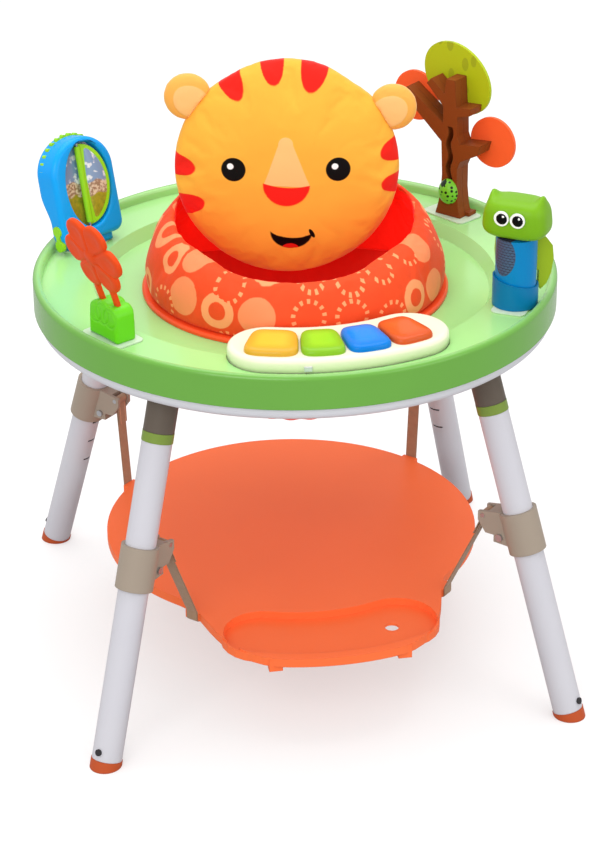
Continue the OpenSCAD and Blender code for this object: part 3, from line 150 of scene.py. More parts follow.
def points_at(x: Numbers, y: Numbers, z: Numbers) -> np.ndarray:
    """Return points from three coordinates that broadcast to one shape."""
    return np.stack(np.broadcast_arrays(x, y, z), -1)


class NodeMaker:
    """Adds shader nodes to a new material or world and links them."""

    def __init__(self, owner: Union[Material, bpy.types.World], shader: str = "Principled BSDF") -> None:
        """Start with the shader that the owner of the nodes comes with."""
        owner.use_nodes = True
        self.owner = owner
        self.tree = owner.node_tree
        self.shader = self.tree.nodes[shader]

    def node(self, kind: str, inputs: Optional[dict] = None, **settings: object) -> bpy.types.Node:
        """Add a node of a kind with its settings, and feed its inputs by name or number."""
        made = self.tree.nodes.new(f"ShaderNode{kind}")
        for name, value in settings.items():
            setattr(made, name, value)
        for key, value in (inputs or {}).items():
            self.feed(made.inputs[key], value)
        return made

    def feed(self, socket: Socket, value: object) -> None:
        """Link a socket to another, or set it to a plain value, a colour with its alpha."""
        if isinstance(value, Socket):
            self.tree.links.new(value, socket)
        elif socket.type == "RGBA":
            socket.default_value = (*value, 1.0)
        else:
            socket.default_value = value

    def place(self, attribute: Optional[str] = None) -> Socket:
        """Return Object coordinates, or the piece's own attribute of that name."""
        if attribute is None:
            return self.node("TexCoord").outputs["Object"]
        return self.node("Attribute", attribute_name=attribute).outputs["Vector"]

    def math(self, operation: str, first: Value, second: Value = 0.0, third: Value = 0.0) -> Socket:
        """Return the result of one Math node."""
        return self.node("Math", {0: first, 1: second, 2: third}, operation=operation).outputs[0]

    def ramp(self, value: Value, low: float, high: float, first: float = 0.0, last: float = 1.0) -> Socket:
        """Map a value smoothly from the span low to high to the span first to last."""
        given = {0: value, 1: low, 2: high, 3: first, 4: last}
        return self.node("MapRange", given, interpolation_type="SMOOTHSTEP").outputs[0]

    def mix(self, share: Value, first: object, second: object) -> Socket:
        """Return the colour between first and second at that share."""
        made = self.node("Mix", data_type="RGBA")
        sockets = [s for s in made.inputs if s.enabled]
        for socket, given in zip(sockets, (share, first, second)):
            self.feed(socket, given)
        return [s for s in made.outputs if s.enabled][0]

    def noise(self, where: Socket, scale: float, detail: float = 2.0) -> Socket:
        """Return a cloudy value from 0 to 1 at a scale per metre."""
        return self.node("TexNoise", {"Vector": where, "Scale": scale, "Detail": detail}).outputs["Fac"]

    def clouded(self, where: Socket, colour: Colour, span: Pair, scale: float, detail: float = 2.0) -> Socket:
        """Return a colour that wanders between two factors of itself in clouds at a scale per metre."""
        return self.mix(self.noise(where, scale, detail), shade(colour, span[0]), shade(colour, span[1]))

    def threads(self, where: Socket, axis: str, pitch: float) -> Socket:
        """Return a wave from 0 to 1 along an axis, one thread each pitch in metres."""
        return self.node("TexWave", {"Vector": where, "Scale": WAVE_LENGTH / pitch}, wave_type="BANDS",
                         bands_direction=axis).outputs["Fac"]

    def cells(self, where: Socket, scale: float, scatter: float, dimensions: str = "3D") -> bpy.types.Node:
        """Return a node of cells at a scale per metre, whose middles are scattered by a share."""
        return self.node("TexVoronoi", {"Vector": where, "Scale": scale, "Randomness": scatter}, feature="F1",
                         voronoi_dimensions=dimensions)

    def own_frame(self, where: Socket, origin: Sequence[float], turn: float,
                  units: Sequence[float] = (1.0, 1.0, 1.0)) -> Socket:
        """Return coordinates in a frame with its own origin, turn about Z in degrees, and units."""
        return self.node("Mapping", {"Vector": where, "Location": origin, "Scale": units,
                                     "Rotation": (0.0, 0.0, math.radians(turn))},
                         vector_type="TEXTURE").outputs[0]

    def length(self, x: Socket, y: Socket) -> Socket:
        """Return the length of a flat vector."""
        return self.math("SQRT", self.math("MULTIPLY_ADD", x, x, self.math("MULTIPLY", y, y)))

    def oval(self, where: Socket, centre: Sequence[float], half: Sequence[float], turn: float = 0.0,
             soft: float = 0.04) -> Socket:
        """Mask of a flat oval, 1 inside and 0 outside, from the point's length in units of its half sizes.

        Args:
            where: Flat coordinates in metres.
            centre: Middle of the oval in millimetres.
            half: Half sizes of the oval in millimetres, along and across its turn.
            turn: Angle of its first half size from X in degrees.
            soft: Share of the size over which the edge fades.

        Returns:
            The mask's socket.
        """
        own = self.own_frame(where, (centre[0] * MM, centre[1] * MM, 0.0), turn,
                             (half[0] * MM, half[1] * MM, FLATTENED))
        reach = self.node("VectorMath", {0: own}, operation="LENGTH").outputs["Value"]
        return self.ramp(reach, 1.0 + soft, 1.0 - soft)

    def without(self, mask: Socket, cut: Socket) -> Socket:
        """Return a mask with another cut out of it."""
        return self.math("MULTIPLY", mask, self.math("SUBTRACT", 1.0, cut))

    def both(self, first: Socket, second: Socket) -> Socket:
        """Return where two masks overlap."""
        return self.math("MULTIPLY", first, second)

    def either(self, masks: Sequence[Socket]) -> Socket:
        """Return where any of several masks is."""
        made = masks[0]
        for mask in masks[1:]:
            made = self.math("MAXIMUM", made, mask)
        return made

    def near(self, value: Socket, middle: float, out: float, full: float) -> Socket:
        """Mask that is 1 within full of a middle value and falls to 0 at out from it."""
        return self.ramp(self.math("ABSOLUTE", self.math("SUBTRACT", value, middle)), out, full)

    def parts(self, where: Socket) -> tuple[Socket, Socket, Socket]:
        """Return the X, Y and Z of a vector."""
        return tuple(self.node("SeparateXYZ", {0: where}).outputs)

    def bump(self, height: Socket, depth: float, strength: float = 1.0, rounding: float = 0.0) -> None:
        """Raise the surface by a height, depth metres at 1, over edges rounded to a radius in metres."""
        made = self.node("Bump", {"Strength": strength, "Distance": depth, "Height": height})
        if rounding > 0.0:
            edges = self.node("Bevel", {"Radius": rounding}, samples=4)
            self.feed(made.inputs["Normal"], edges.outputs[0])
        self.feed(self.shader.inputs["Normal"], made.outputs[0])

    def seen(self) -> Socket:
        """Mask that is 1 for what the camera sees straight or through clear pieces."""
        path = self.node("LightPath")
        return self.math("MAXIMUM", path.outputs["Is Camera Ray"], path.outputs["Is Transmission Ray"])

    def set(self, **values: object) -> Union[Material, bpy.types.World]:
        """Set or link the shader's sockets, named with underscores, and return the nodes' owner."""
        for name, value in values.items():
            self.feed(self.shader.inputs[name.replace("_", " ")], value)
        return self.owner


class Surface:
    """A finish, which makes its material and paints it in the way of its kind."""

    reads: ClassVar[Optional[str]] = None

    def material(self, name: str) -> Material:
        """Return the finish as a new material of that name."""
        maker = NodeMaker(bpy.data.materials.new(name))
        return self.paint(maker, maker.place(self.reads))

    def paint(self, maker: NodeMaker, where: Socket) -> Material:
        """Build the nodes of the finish's kind.

        Args:
            maker: The material's nodes.
            where: Object coordinates, or the attribute that the finish reads.

        Returns:
            The material.
        """
        raise NotImplementedError


@dataclass(frozen=True)
class MouldedPlastic(Surface):
    """Moulded plastic: faint cloudy tone, fine skin grain, softly rounded edges and an even gloss."""

    colour: Colour
    roughness: float = 0.3
    gloss_coat: float = 0.1
    grain: float = 0.00006
    tone: float = 0.04
    rounding: float = 0.0012
    shine: float = 0.18
    wear: float = 0.03

    def paint(self, maker: NodeMaker, where: Socket) -> Material:
        """Paint plastic of one colour."""
        return self.finish(maker, where, self.toned(maker, where, self.colour))

    def toned(self, maker: NodeMaker, where: Socket, colour: Colour) -> Socket:
        """Return a colour that wanders a little darker and lighter over the piece."""
        return maker.clouded(where, colour, (1.0 - self.tone, 1.0 + self.tone), 9.0, 3.0)

    def finish(self, maker: NodeMaker, where: Socket, tint: Socket) -> Material:
        """Give the surface its grain, rounded edges and gloss under a tint.

        Args:
            maker: The material's nodes.
            where: Place on the piece.
            tint: Colour of the surface.

        Returns:
            The material.
        """
        maker.bump(maker.noise(where, SKIN_SCALE, 1.0), self.grain, rounding=self.rounding)
        dull = maker.ramp(maker.noise(where, 4.0, 1.0), 0.3, 0.7, self.roughness, self.roughness + self.wear)
        return maker.set(Base_Color=tint, Coat_Weight=self.gloss_coat, Coat_Roughness=0.1, Roughness=dull,
                         Specular_IOR_Level=self.shine)


@dataclass(frozen=True)
class TrayPlastic(MouldedPlastic):
    """Tray shell with a polished floor and a deeper outer wall, told apart by the reach from the axis."""

    wall: Colour = (0.15, 0.4, 0.06)
    floor_r: float = 0.339
    wall_r: float = 0.349

    def paint(self, maker: NodeMaker, where: Socket) -> Material:
        """Paint the floor inside its radius and the wall outside its own."""
        x, y, _ = maker.parts(where)
        outer = maker.ramp(maker.length(x, y), self.floor_r, self.wall_r)
        floor, wall = (self.toned(maker, where, colour) for colour in (self.colour, self.wall))
        return self.finish(maker, where, maker.mix(outer, floor, wall))


@dataclass(frozen=True)
class LeafPlastic(MouldedPlastic):
    """Plastic of the tree's top with small pressed leaves: long cells of a turned and stretched grid."""

    mark: Colour = (0.2, 0.25, 0.01)
    mark_share: float = 0.55
    turn: Triple = (0.0, 0.6, 0.4)
    leaves_per_m: Triple = (46.0, 46.0, 26.0)

    def paint(self, maker: NodeMaker, where: Socket) -> Material:
        """Paint plastic of one colour, darker in the middle of each cell."""
        turned = maker.node("Mapping", {"Vector": where, "Rotation": self.turn, "Scale": self.leaves_per_m},
                            vector_type="POINT")
        pressed = maker.ramp(maker.cells(turned.outputs[0], 1.0, 0.7).outputs["Distance"], 0.27, 0.24)
        tint = maker.mix(maker.math("MULTIPLY", pressed, self.mark_share),
                         self.toned(maker, where, self.colour), self.mark)
        return self.finish(maker, where, tint)


@dataclass(frozen=True)
class SatinMetal(Surface):
    """Metal with fine drawn lines and a few dull patches."""

    colour: Colour
    roughness: float = 0.32
    wear: float = 0.15

    def paint(self, maker: NodeMaker, where: Socket) -> Material:
        """Paint the metal darker and rougher in its dull patches."""
        dull = maker.noise(where, 40.0)
        tint = maker.mix(dull, shade(self.colour, 0.85), self.colour)
        maker.bump(maker.noise(where, 700.0), 0.00005)
        return maker.set(Base_Color=tint, Metallic=1.0,
                         Roughness=maker.ramp(dull, 0.2, 0.8, self.roughness, self.roughness + self.wear))


@dataclass(frozen=True)
class PaintedTube(Surface):
    """Powder paint on the four splayed steel tubes: pale, satin, with a fine pebble; their bores get painted
    shade.

    All four axes fall on one line when X and Y lose their signs; its reach from Z shrinks with height.
    """

    colour: Colour
    shadow: Colour
    # colour of the painted shade inside the bores
    bore_shade: Colour
    bore_r: float = 0.0192
    bore_soft: float = 0.0002
    foot_r: float = 0.443
    tilt: float = 17.4

    def paint(self, maker: NodeMaker, where: Socket) -> Material:
        """Paint the tubes, rubbed a little rougher in places."""
        rub = maker.ramp(maker.noise(where, 35.0, 4.0), 0.5, 0.75)
        tint = maker.mix(maker.noise(where, 6.0), self.colour, self.shadow)
        # painted shade: the bores take a dark colour where shade falls inside the tubes
        tint = maker.mix(self.inside(maker, where), tint, self.bore_shade)
        maker.bump(maker.noise(where, 900.0, 1.0), 0.0001, rounding=0.001)
        return maker.set(Base_Color=tint, Roughness=maker.ramp(rub, 0.0, 1.0, 0.34, 0.46), Coat_Weight=0.1,
                         Coat_Roughness=0.2, Specular_IOR_Level=0.25)

    def inside(self, maker: NodeMaker, where: Socket) -> Socket:
        """Mask of the painted shade in the bores: points nearer to their tube's axis than the radius of the
        bores.
        """
        x, y, z = maker.parts(where)
        x, y = maker.math("ABSOLUTE", x), maker.math("ABSOLUTE", y)
        lean = math.radians(self.tilt)
        out = maker.math("MULTIPLY", maker.math("ADD", x, y), math.cos(lean) / math.sqrt(2.0))
        toe = -self.foot_r * math.cos(lean)
        out = maker.math("ADD", out, maker.math("MULTIPLY_ADD", z, math.sin(lean), toe))
        across = maker.math("MULTIPLY", maker.math("SUBTRACT", x, y), 1.0 / math.sqrt(2.0))
        reach = maker.math("SUBTRACT", maker.length(out, across), self.bore_r)
        return maker.ramp(reach, self.bore_soft, -self.bore_soft)


@dataclass(frozen=True)
class PlainCloth(Surface):
    """Woven cloth of one colour: crossed threads, slubs and a soft sheen."""

    colour: Colour
    pitch: float = 0.0011
    sheen: float = 0.35

    def paint(self, maker: NodeMaker, where: Socket) -> Material:
        """Paint the cloth over its raised weave."""
        weave = maker.math("ADD", maker.threads(where, "DIAGONAL", self.pitch),
                           maker.threads(where, "Z", self.pitch))
        maker.bump(weave, 0.00012, 0.5)
        tint = maker.clouded(where, self.colour, (0.86, 1.08), 45.0, 3.0)
        return maker.set(Base_Color=tint, Roughness=0.72, Sheen_Weight=self.sheen, Sheen_Roughness=0.4)


@dataclass(frozen=True)
class RingPrintCloth(Surface):
    """Orange cloth printed with rings, discs and dotted rings; its red lining glows with painted light.

    The attribute print_place holds the length round the seat, the height up the cloth and how far the point
    is on the inner side.
    """

    reads: ClassVar[Optional[str]] = "print_place"
    ground: Colour
    pale: Colour
    inside: Colour
    motif: float = 0.054
    scatter: float = 0.55
    pitch: float = 0.0011
    # strength of the painted light: the lining glows red though it is no lamp
    painted_lining_light: float = 0.2

    def paint(self, maker: NodeMaker, where: Socket) -> Material:
        """Paint the print outside and the lining inside, over the raised weave; the lining glows with painted
        light.
        """
        _, _, inner = maker.parts(where)
        lined = maker.ramp(inner, 0.0, 0.002)
        ground = maker.clouded(maker.place(), self.ground, (0.88, 1.08), 60.0, 3.0)
        printed = maker.mix(maker.math("MULTIPLY", self.motifs(maker, where), 0.85), ground, self.pale)
        weft, warp = (maker.threads(where, axis, self.pitch) for axis in "XY")
        maker.bump(maker.math("ADD", weft, warp), 0.0001, 0.5)
        # painted light: the lining emits its own red to brighten the shade inside the seat
        return maker.set(Base_Color=maker.mix(lined, printed, self.inside), Roughness=0.62,
                         Specular_IOR_Level=0.15, Sheen_Weight=0.08, Sheen_Roughness=0.35,
                         Emission_Color=self.inside,
                         Emission_Strength=maker.math("MULTIPLY", lined, self.painted_lining_light))

    def motifs(self, maker: NodeMaker, where: Socket) -> Socket:
        """Mask of the print: each cell's own random pick makes it a disc, a ring or a ring of beads.

        Args:
            maker: The material's nodes.
            where: Place on the print.

        Returns:
            The mask's socket.
        """
        cells = maker.cells(where, 1.0 / self.motif, self.scatter, "2D")
        reach = cells.outputs["Distance"]
        pick, size, _ = maker.parts(cells.outputs["Color"])
        rim = maker.ramp(size, 0.0, 1.0, 0.33, 0.46)
        inside_rim = maker.ramp(maker.math("SUBTRACT", reach, rim), 0.015, -0.015)
        hollow = maker.ramp(maker.math("SUBTRACT", reach, maker.math("MULTIPLY", rim, 0.52)), 0.015, -0.015)
        ring = maker.without(inside_rim, hollow)
        offset = maker.node("VectorMath", {0: where, 1: cells.outputs["Position"]}, operation="SUBTRACT")
        across, up, _ = maker.parts(offset.outputs[0])
        spin = maker.math("ARCTAN2", up, across)
        beads = maker.ramp(maker.math("SINE", maker.math("MULTIPLY", spin, 13.0)), 0.0, 0.35)
        dotted = maker.both(beads, maker.near(reach, 0.36, 0.06, 0.04))
        disc = maker.math("MULTIPLY", inside_rim, 0.72)
        is_ring = maker.ramp(pick, 0.36, 0.37)
        is_dotted = maker.ramp(pick, 0.66, 0.67)
        ringed = maker.math("ADD", maker.without(ring, is_dotted), maker.both(is_dotted, dotted))
        return maker.math("ADD", maker.without(disc, is_ring), maker.both(is_ring, ringed))


@dataclass(frozen=True)
class FaceCloth(Surface):
    """Short soft pile printed with a plain animal face of stripes, eyes, nose and smile.

    The attribute face_place holds the point in the head's own frame: X to the right, Y up, Z out of the face.
    Places and sizes on the face are in millimetres; a stripe is its reach, angle, length and width.
    """

    reads: ClassVar[Optional[str]] = "face_place"
    ground: Colour
    beige: Colour
    red: Colour
    black: Colour
    white: Colour
    stripes: Rows = ((157, 124, 38, 17), (158, 100.5, 35, 16.5), (157, 78.5, 40, 19), (154, 180, 33, 16),
                     (150, -157.5, 34, 16), (154, 14.5, 28, 17), (153, -4, 27, 15))
    eyes: Rows = ((-70.7, 8), (66.9, 16))
    eye_half: Pair = (16.3, 16.3)
    glints: Rows = ((-75, 12), (62.4, 20))
    glint_half: Pair = (4.2, 4.2)

    def paint(self, maker: NodeMaker, where: Socket) -> Material:
        """Paint the face from its widest forms to its smallest, each raised a little from the pile."""
        _, _, out = maker.parts(where)
        front = maker.ramp(out, 0.0, 0.001)
        striped = maker.either([maker.oval(where, polar(reach, at), (long, wide), at)
                                for reach, at, long, wide in self.stripes])
        blaze = maker.both(self.blaze(maker, where), front)
        nose = maker.without(maker.oval(where, (0, -8), (31, 31)),
                             maker.oval(where, (0, 20), (60, 32.5), 0, 0.02))
        eyes = maker.either([maker.oval(where, at, self.eye_half) for at in self.eyes])
        glints = maker.either([maker.oval(where, at, self.glint_half, 0, 0.15) for at in self.glints])
        smile = maker.without(maker.oval(where, (10, -77), (28, 25.5)),
                              maker.oval(where, (10, -68), (33, 18)))
        corner = maker.oval(where, (37.5, -78), (2.8, 7.5), 30)
        tongue = maker.both(maker.oval(where, (10, -104), (12, 9)), smile)
        dark = maker.both(maker.either([eyes, smile, corner]), front)
        tint = maker.clouded(where, self.ground, (0.92, 1.06), 14.0, 3.0)
        layers = ((striped, self.red), (blaze, self.beige), (maker.both(nose, front), self.red),
                  (dark, self.black), (maker.both(tongue, front), shade(self.red, 0.8)),
                  (maker.both(glints, front), self.white))
        for mask, colour in layers:
            tint = maker.mix(mask, tint, colour)
        pile = maker.math("MULTIPLY", maker.noise(where, PILE_SCALE), 0.25)
        puckers = maker.math("MULTIPLY", maker.noise(where, 24.0), 6.0)
        raised = maker.math("ADD", maker.math("ADD", pile, puckers), maker.either([blaze, nose, eyes]))
        maker.bump(raised, 0.0006, 0.6)
        return maker.set(Base_Color=tint, Roughness=maker.ramp(dark, 0.0, 1.0, 0.75, 0.4),
                         Specular_IOR_Level=0.12, Sheen_Weight=maker.ramp(dark, 0.0, 1.0, 0.25, 0.0),
                         Sheen_Roughness=0.35)

    def blaze(self, maker: NodeMaker, where: Socket) -> Socket:
        """Mask of the pale wedge over the nose: its half width falls with height, and its top is round.

        Args:
            maker: The material's nodes.
            where: Place in the head's frame.

        Returns:
            The mask's socket.
        """
        across, up, _ = maker.parts(where)
        half = maker.math("MULTIPLY_ADD", up, -0.37, 0.0268)
        side = maker.math("ABSOLUTE", maker.math("MULTIPLY_ADD", up, 0.08, across))
        inside = maker.ramp(maker.math("SUBTRACT", half, side), -0.0008, 0.0008)
        above = maker.ramp(up, -0.0115, -0.0105)
        below = maker.ramp(up, 0.0495, 0.0485)
        wedge = maker.both(inside, maker.both(above, below))
        return maker.either([wedge, maker.oval(where, (-4, 47), (9.6, 10))])


@dataclass(frozen=True)
class EarCloth(Surface):
    """Short pile of the ears with a paler oval sewn on the front; ear_place is the ear's own frame."""

    reads: ClassVar[Optional[str]] = "ear_place"
    ground: Colour
    beige: Colour

    def paint(self, maker: NodeMaker, where: Socket) -> Material:
        """Paint the pile and the oval, which is raised from it."""
        _, _, out = maker.parts(where)
        patch = maker.both(maker.oval(where, (0, -6), (21, 25)), maker.ramp(out, 0.0, 0.001))
        tint = maker.mix(patch, maker.clouded(where, self.ground, (0.92, 1.05), 30.0, 3.0), self.beige)
        raised = maker.math("ADD", maker.math("MULTIPLY", maker.noise(where, PILE_SCALE), 0.3), patch)
        maker.bump(raised, 0.0006, 0.6)
        return maker.set(Base_Color=tint, Roughness=0.75, Sheen_Weight=0.45, Sheen_Roughness=0.35)


@dataclass(frozen=True)
class WebbingCloth(Surface):
    """Flat woven webbing: ribs across it, darker selvedges and a stitched box near its loop.

    The attribute strap_place holds the place across the strap, the length along it and the length to its end.
    """

    reads: ClassVar[Optional[str]] = "strap_place"
    colour: Colour
    half: float = 0.009
    seam_at: float = 0.0055

    def paint(self, maker: NodeMaker, where: Socket) -> Material:
        """Paint the webbing, its edges and its stitches over the raised ribs."""
        across, _, left = maker.parts(where)
        beside = maker.math("ABSOLUTE", across)
        rib, warp = maker.threads(where, "Y", 0.0016), maker.threads(where, "X", 0.0022)
        edge = maker.ramp(beside, self.half * 0.78, self.half * 0.95)
        seam = maker.near(beside, self.seam_at, 0.0011, 0.0006)
        stitched = maker.both(maker.both(seam, maker.ramp(left, 0.032, 0.031)), maker.ramp(rib, 0.25, 0.45))
        tint = maker.clouded(where, self.colour, (0.85, 1.1), 120.0, 3.0)
        tint = maker.mix(maker.math("MULTIPLY", edge, 0.35), tint, shade(self.colour, 0.5))
        tint = maker.mix(stitched, tint, shade(self.colour, 1.9))
        maker.bump(maker.math("ADD", rib, maker.math("MULTIPLY", warp, 0.5)), 0.0004, 0.6)
        return maker.set(Base_Color=tint, Roughness=0.7, Sheen_Weight=0.25, Sheen_Roughness=0.4)


@dataclass(frozen=True)
class KeyGloss(Surface):
    """Clear-coated tinted key plastic with painted shade: darker towards its rim, lighter in its top's
    middle.

    The attribute key_place holds the share of the way from the key's middle to its rim.
    """

    colour: Colour

    def paint(self, maker: NodeMaker, where: Socket) -> Material:
        """Paint the key by the share of the way to its rim, with painted shade towards the rim."""
        share, _, _ = maker.parts(maker.place("key_place"))
        # painted shade: the colour darkens towards the rim, so the top's middle reads lighter
        tint = maker.mix(maker.ramp(share, 0.35, 0.95), self.colour, shade(self.colour, 0.7))
        tint = maker.mix(maker.math("MULTIPLY", maker.noise(where, 20.0), 0.15), tint, self.colour)
        maker.bump(maker.noise(where, 900.0, 1.0), 0.00003)
        return maker.set(Base_Color=tint, Roughness=0.2, Specular_IOR_Level=0.08, Coat_Weight=0.2,
                         Coat_Roughness=0.05)


@dataclass(frozen=True)
class SpottedShell(Surface):
    """Green shell of the sliding bug with a dark head and dark round spots scattered on it."""

    colour: Colour
    spot: Colour
    head: Triple
    head_r: float = 0.0058
    head_soft: float = 0.0006

    def paint(self, maker: NodeMaker, where: Socket) -> Material:
        """Paint the spots and the head over the green."""
        away = maker.node("VectorMath", {0: where, 1: self.head}, operation="DISTANCE").outputs["Value"]
        dark_head = maker.ramp(away, self.head_r, self.head_r - self.head_soft)
        dots = maker.ramp(maker.cells(where, 150.0, 0.45).outputs["Distance"], 0.32, 0.27)
        tint = maker.clouded(where, self.colour, (0.9, 1.1), 40.0)
        maker.bump(maker.noise(where, 1200.0, 1.0), 0.00005)
        tint = maker.mix(maker.either([dots, dark_head]), tint, self.spot)
        return maker.set(Base_Color=tint, Roughness=0.28, Coat_Weight=0.1, Coat_Roughness=0.1,
                         Specular_IOR_Level=0.2)


@dataclass(frozen=True)
class MeadowPicture(Surface):
    """Printed card with a plain landscape: blue sky, pale clouds, rolling brown and green ground.

    It reads the height of Object coordinates, so the bands lie level on the leaning card.
    """

    low_z: float
    high_z: float
    wander: float = 0.35

    def paint(self, maker: NodeMaker, where: Socket) -> Material:
        """Paint sky over rocks over grass, with edges that wander."""
        _, _, up = maker.parts(where)
        height = maker.ramp(up, self.low_z, self.high_z)
        off = maker.math("SUBTRACT", maker.noise(where, 45.0), 0.5)
        bands = maker.math("ADD", height, maker.math("MULTIPLY", off, self.wander))
        clouds = maker.ramp(maker.noise(where, 90.0, 3.0), 0.55, 0.66)
        sky = maker.mix(clouds, linear(120, 150, 190), linear(225, 228, 235))
        rocks = maker.mix(maker.ramp(maker.noise(where, 260.0), 0.4, 0.6), linear(150, 120, 95),
                          linear(215, 195, 170))
        grass = maker.mix(maker.noise(where, 200.0), linear(95, 120, 30), linear(190, 170, 40))
        ground = maker.mix(maker.ramp(bands, 0.28, 0.32), grass, rocks)
        tint = maker.mix(maker.ramp(bands, 0.55, 0.6), ground, sky)
        maker.bump(maker.noise(where, 1500.0, 1.0), 0.00002)
        return maker.set(Base_Color=tint, Roughness=0.25, Coat_Weight=0.5, Coat_Roughness=0.05)


@dataclass(frozen=True)
class ScallopPrint(Surface):
    """Blue drum with a printed breast of overlapping small scallops on the side the owl looks to.

    The pattern lies in the owl's own turned frame, found with a Mapping node: X across the breast, Z up.
    """

    colour: Colour
    ink: Colour
    paper: Colour
    middle: Triple
    turn: float
    row_high: float = 0.0038
    column_wide: float = 0.0052
    breast_half: Pair = (0.0165, 0.028)
    breast_z: float = 0.011
    first_cell: float = 100.0

    def paint(self, maker: NodeMaker, where: Socket) -> Material:
        """Paint the scallops inside the breast's oval and the plain drum outside it."""
        across, depth, up = maker.parts(maker.own_frame(where, self.middle, self.turn))
        row = maker.math("DIVIDE", up, self.row_high)
        shift = maker.math("MULTIPLY", maker.math("MODULO", maker.math("FLOOR", row), 2.0), 0.5)
        column = maker.math("ADD", maker.math("DIVIDE", across, self.column_wide), shift)
        x = maker.math("SUBTRACT", maker.math("FRACT", maker.math("ADD", column, self.first_cell)), 0.5)
        y = maker.math("FRACT", maker.math("ADD", row, self.first_cell))
        arc = maker.near(maker.length(x, y), 0.52, 0.14, 0.07)
        wide = maker.math("POWER", maker.math("DIVIDE", across, self.breast_half[0]), 2.0)
        above = maker.math("SUBTRACT", up, self.breast_z)
        tall = maker.math("POWER", maker.math("DIVIDE", above, self.breast_half[1]), 2.0)
        breast = maker.both(maker.ramp(maker.math("ADD", wide, tall), 1.03, 0.97),
                            maker.ramp(depth, 0.0, -0.001))
        plain = maker.clouded(where, self.colour, (0.94, 1.06), 12.0)
        tint = maker.mix(breast, plain, maker.mix(arc, self.paper, self.ink))
        maker.bump(maker.noise(where, SKIN_SCALE, 1.0), 0.00006)
        return maker.set(Base_Color=tint, Roughness=0.3, Specular_IOR_Level=0.15, Coat_Weight=0.05,
                         Coat_Roughness=0.1)


class Finish(Enum):
    """Finishes of the rigid parts."""

    GREEN_SHELL = TrayPlastic(linear(166, 222, 140), 0.2, 0.25, shine=0.35, wall=linear(102, 165, 60))
    PALE_SHELL = MouldedPlastic(linear(206, 206, 212), 0.34)
    PLATE = MouldedPlastic(linear(206, 226, 200), 0.3)
    TAUPE = MouldedPlastic(linear(160, 146, 131), 0.42, 0.05, 0.0001)
    SOCKET = MouldedPlastic(linear(97, 87, 77), 0.42, 0.05, 0.0001)
    LIME = MouldedPlastic(linear(148, 212, 36), 0.26)
    BAND = MouldedPlastic(linear(122, 146, 62), 0.34)
    # the third colour is painted shade inside the tubes' bores
    TUBE = PaintedTube(linear(208, 207, 212), linear(198, 196, 204), linear(34, 28, 28))
    ORANGE = MouldedPlastic(linear(255, 116, 62), 0.42, 0.0, 0.00012)
    FOOT = MouldedPlastic(linear(188, 82, 42), 0.5, 0.0, 0.00012)
    RING = MouldedPlastic(linear(246, 84, 40), 0.32)
    CREAM = MouldedPlastic(linear(236, 232, 208), 0.22)
    STEEL = SatinMetal(linear(196, 196, 200))
    BLACKENED = SatinMetal(linear(74, 72, 74), 0.4)
    BOARD = MouldedPlastic(linear(40, 110, 60), 0.4)
    DARK = MouldedPlastic(linear(46, 46, 50), 0.45, 0.0)
    RUBBER = MouldedPlastic(linear(120, 122, 126), 0.6, 0.0, 0.00012)
    BLUE = MouldedPlastic(linear(4, 158, 240), 0.26, 0.08)
    CUP = MouldedPlastic(linear(0, 114, 168), 0.3, 0.05)
    BROWN = MouldedPlastic(linear(134, 66, 26), 0.4, 0.0, 0.00015, rounding=0.002, shine=0.1)
    OLIVE = LeafPlastic(linear(176, 192, 26), 0.36, 0.0, mark=linear(140, 150, 30))
    LEAF = MouldedPlastic(linear(252, 100, 50), 0.36, 0.0)
    FLOWER = MouldedPlastic(linear(226, 74, 24), 0.4, 0.0, shine=0.1)
    GRASS = MouldedPlastic(linear(104, 206, 30), 0.3)
    OWL = MouldedPlastic(linear(118, 172, 22), 0.34, 0.0)
    WING = MouldedPlastic(linear(150, 178, 30), 0.34, 0.0)
    BUG = SpottedShell(linear(118, 198, 52), linear(24, 40, 18), (0.2385, 0.1525, 0.5925))
    WHITE = MouldedPlastic(linear(248, 248, 246), 0.2, 0.2)
    BLACK = MouldedPlastic(linear(6, 5, 7), 0.2, 0.0, shine=0.1)
    LINING = PlainCloth(linear(250, 50, 22))
    PICTURE = MeadowPicture(0.575, 0.675)


NODE_FINISHES: dict[Finish, tuple[str, ...]] = {
    Finish.GREEN_SHELL: ("tray_top",),
    Finish.PALE_SHELL: ("tray_base", "ring_retainer", "piano_switch"),
    Finish.PLATE: ("toy_plates",),
    Finish.TAUPE: tuple(f"leg_collar_{leg}" for leg in LEGS),
    Finish.SOCKET: ("leg_sockets",),
    Finish.LIME: ("turner_page", "turner_wheel", "turner_knob"),
    Finish.BAND: ("leg_bands",),
    Finish.TUBE: tuple(f"leg_tube_{leg}" for leg in LEGS),
    Finish.ORANGE: ("footboard",),
    Finish.FOOT: ("leg_feet",),
    Finish.RING: ("seat_ring",),
    Finish.CREAM: ("piano_case", "piano_base", "piano_door"),
    Finish.STEEL: ("retainer_screws", "piano_screws", "toy_pins", *(f"collar_pins_{leg}" for leg in LEGS)),
    Finish.BLACKENED: ("frame_screws",),
    Finish.BOARD: ("piano_circuit",),
    Finish.DARK: ("piano_speaker",),
    Finish.RUBBER: ("piano_domes",),
    Finish.BLUE: ("turner_front", "turner_back"),
    Finish.CUP: ("owl_base",),
    Finish.BROWN: ("tree_trunk", "tree_back"),
    Finish.OLIVE: ("tree_leaf_top",),
    Finish.LEAF: ("tree_leaves",),
    Finish.FLOWER: ("flower_petals",),
    Finish.GRASS: ("flower_block",),
    Finish.OWL: ("owl_head",),
    Finish.WING: ("owl_wings",),
    Finish.BUG: ("tree_bug",),
    Finish.WHITE: ("owl_eyes",),
    Finish.PICTURE: ("turner_picture",),
}


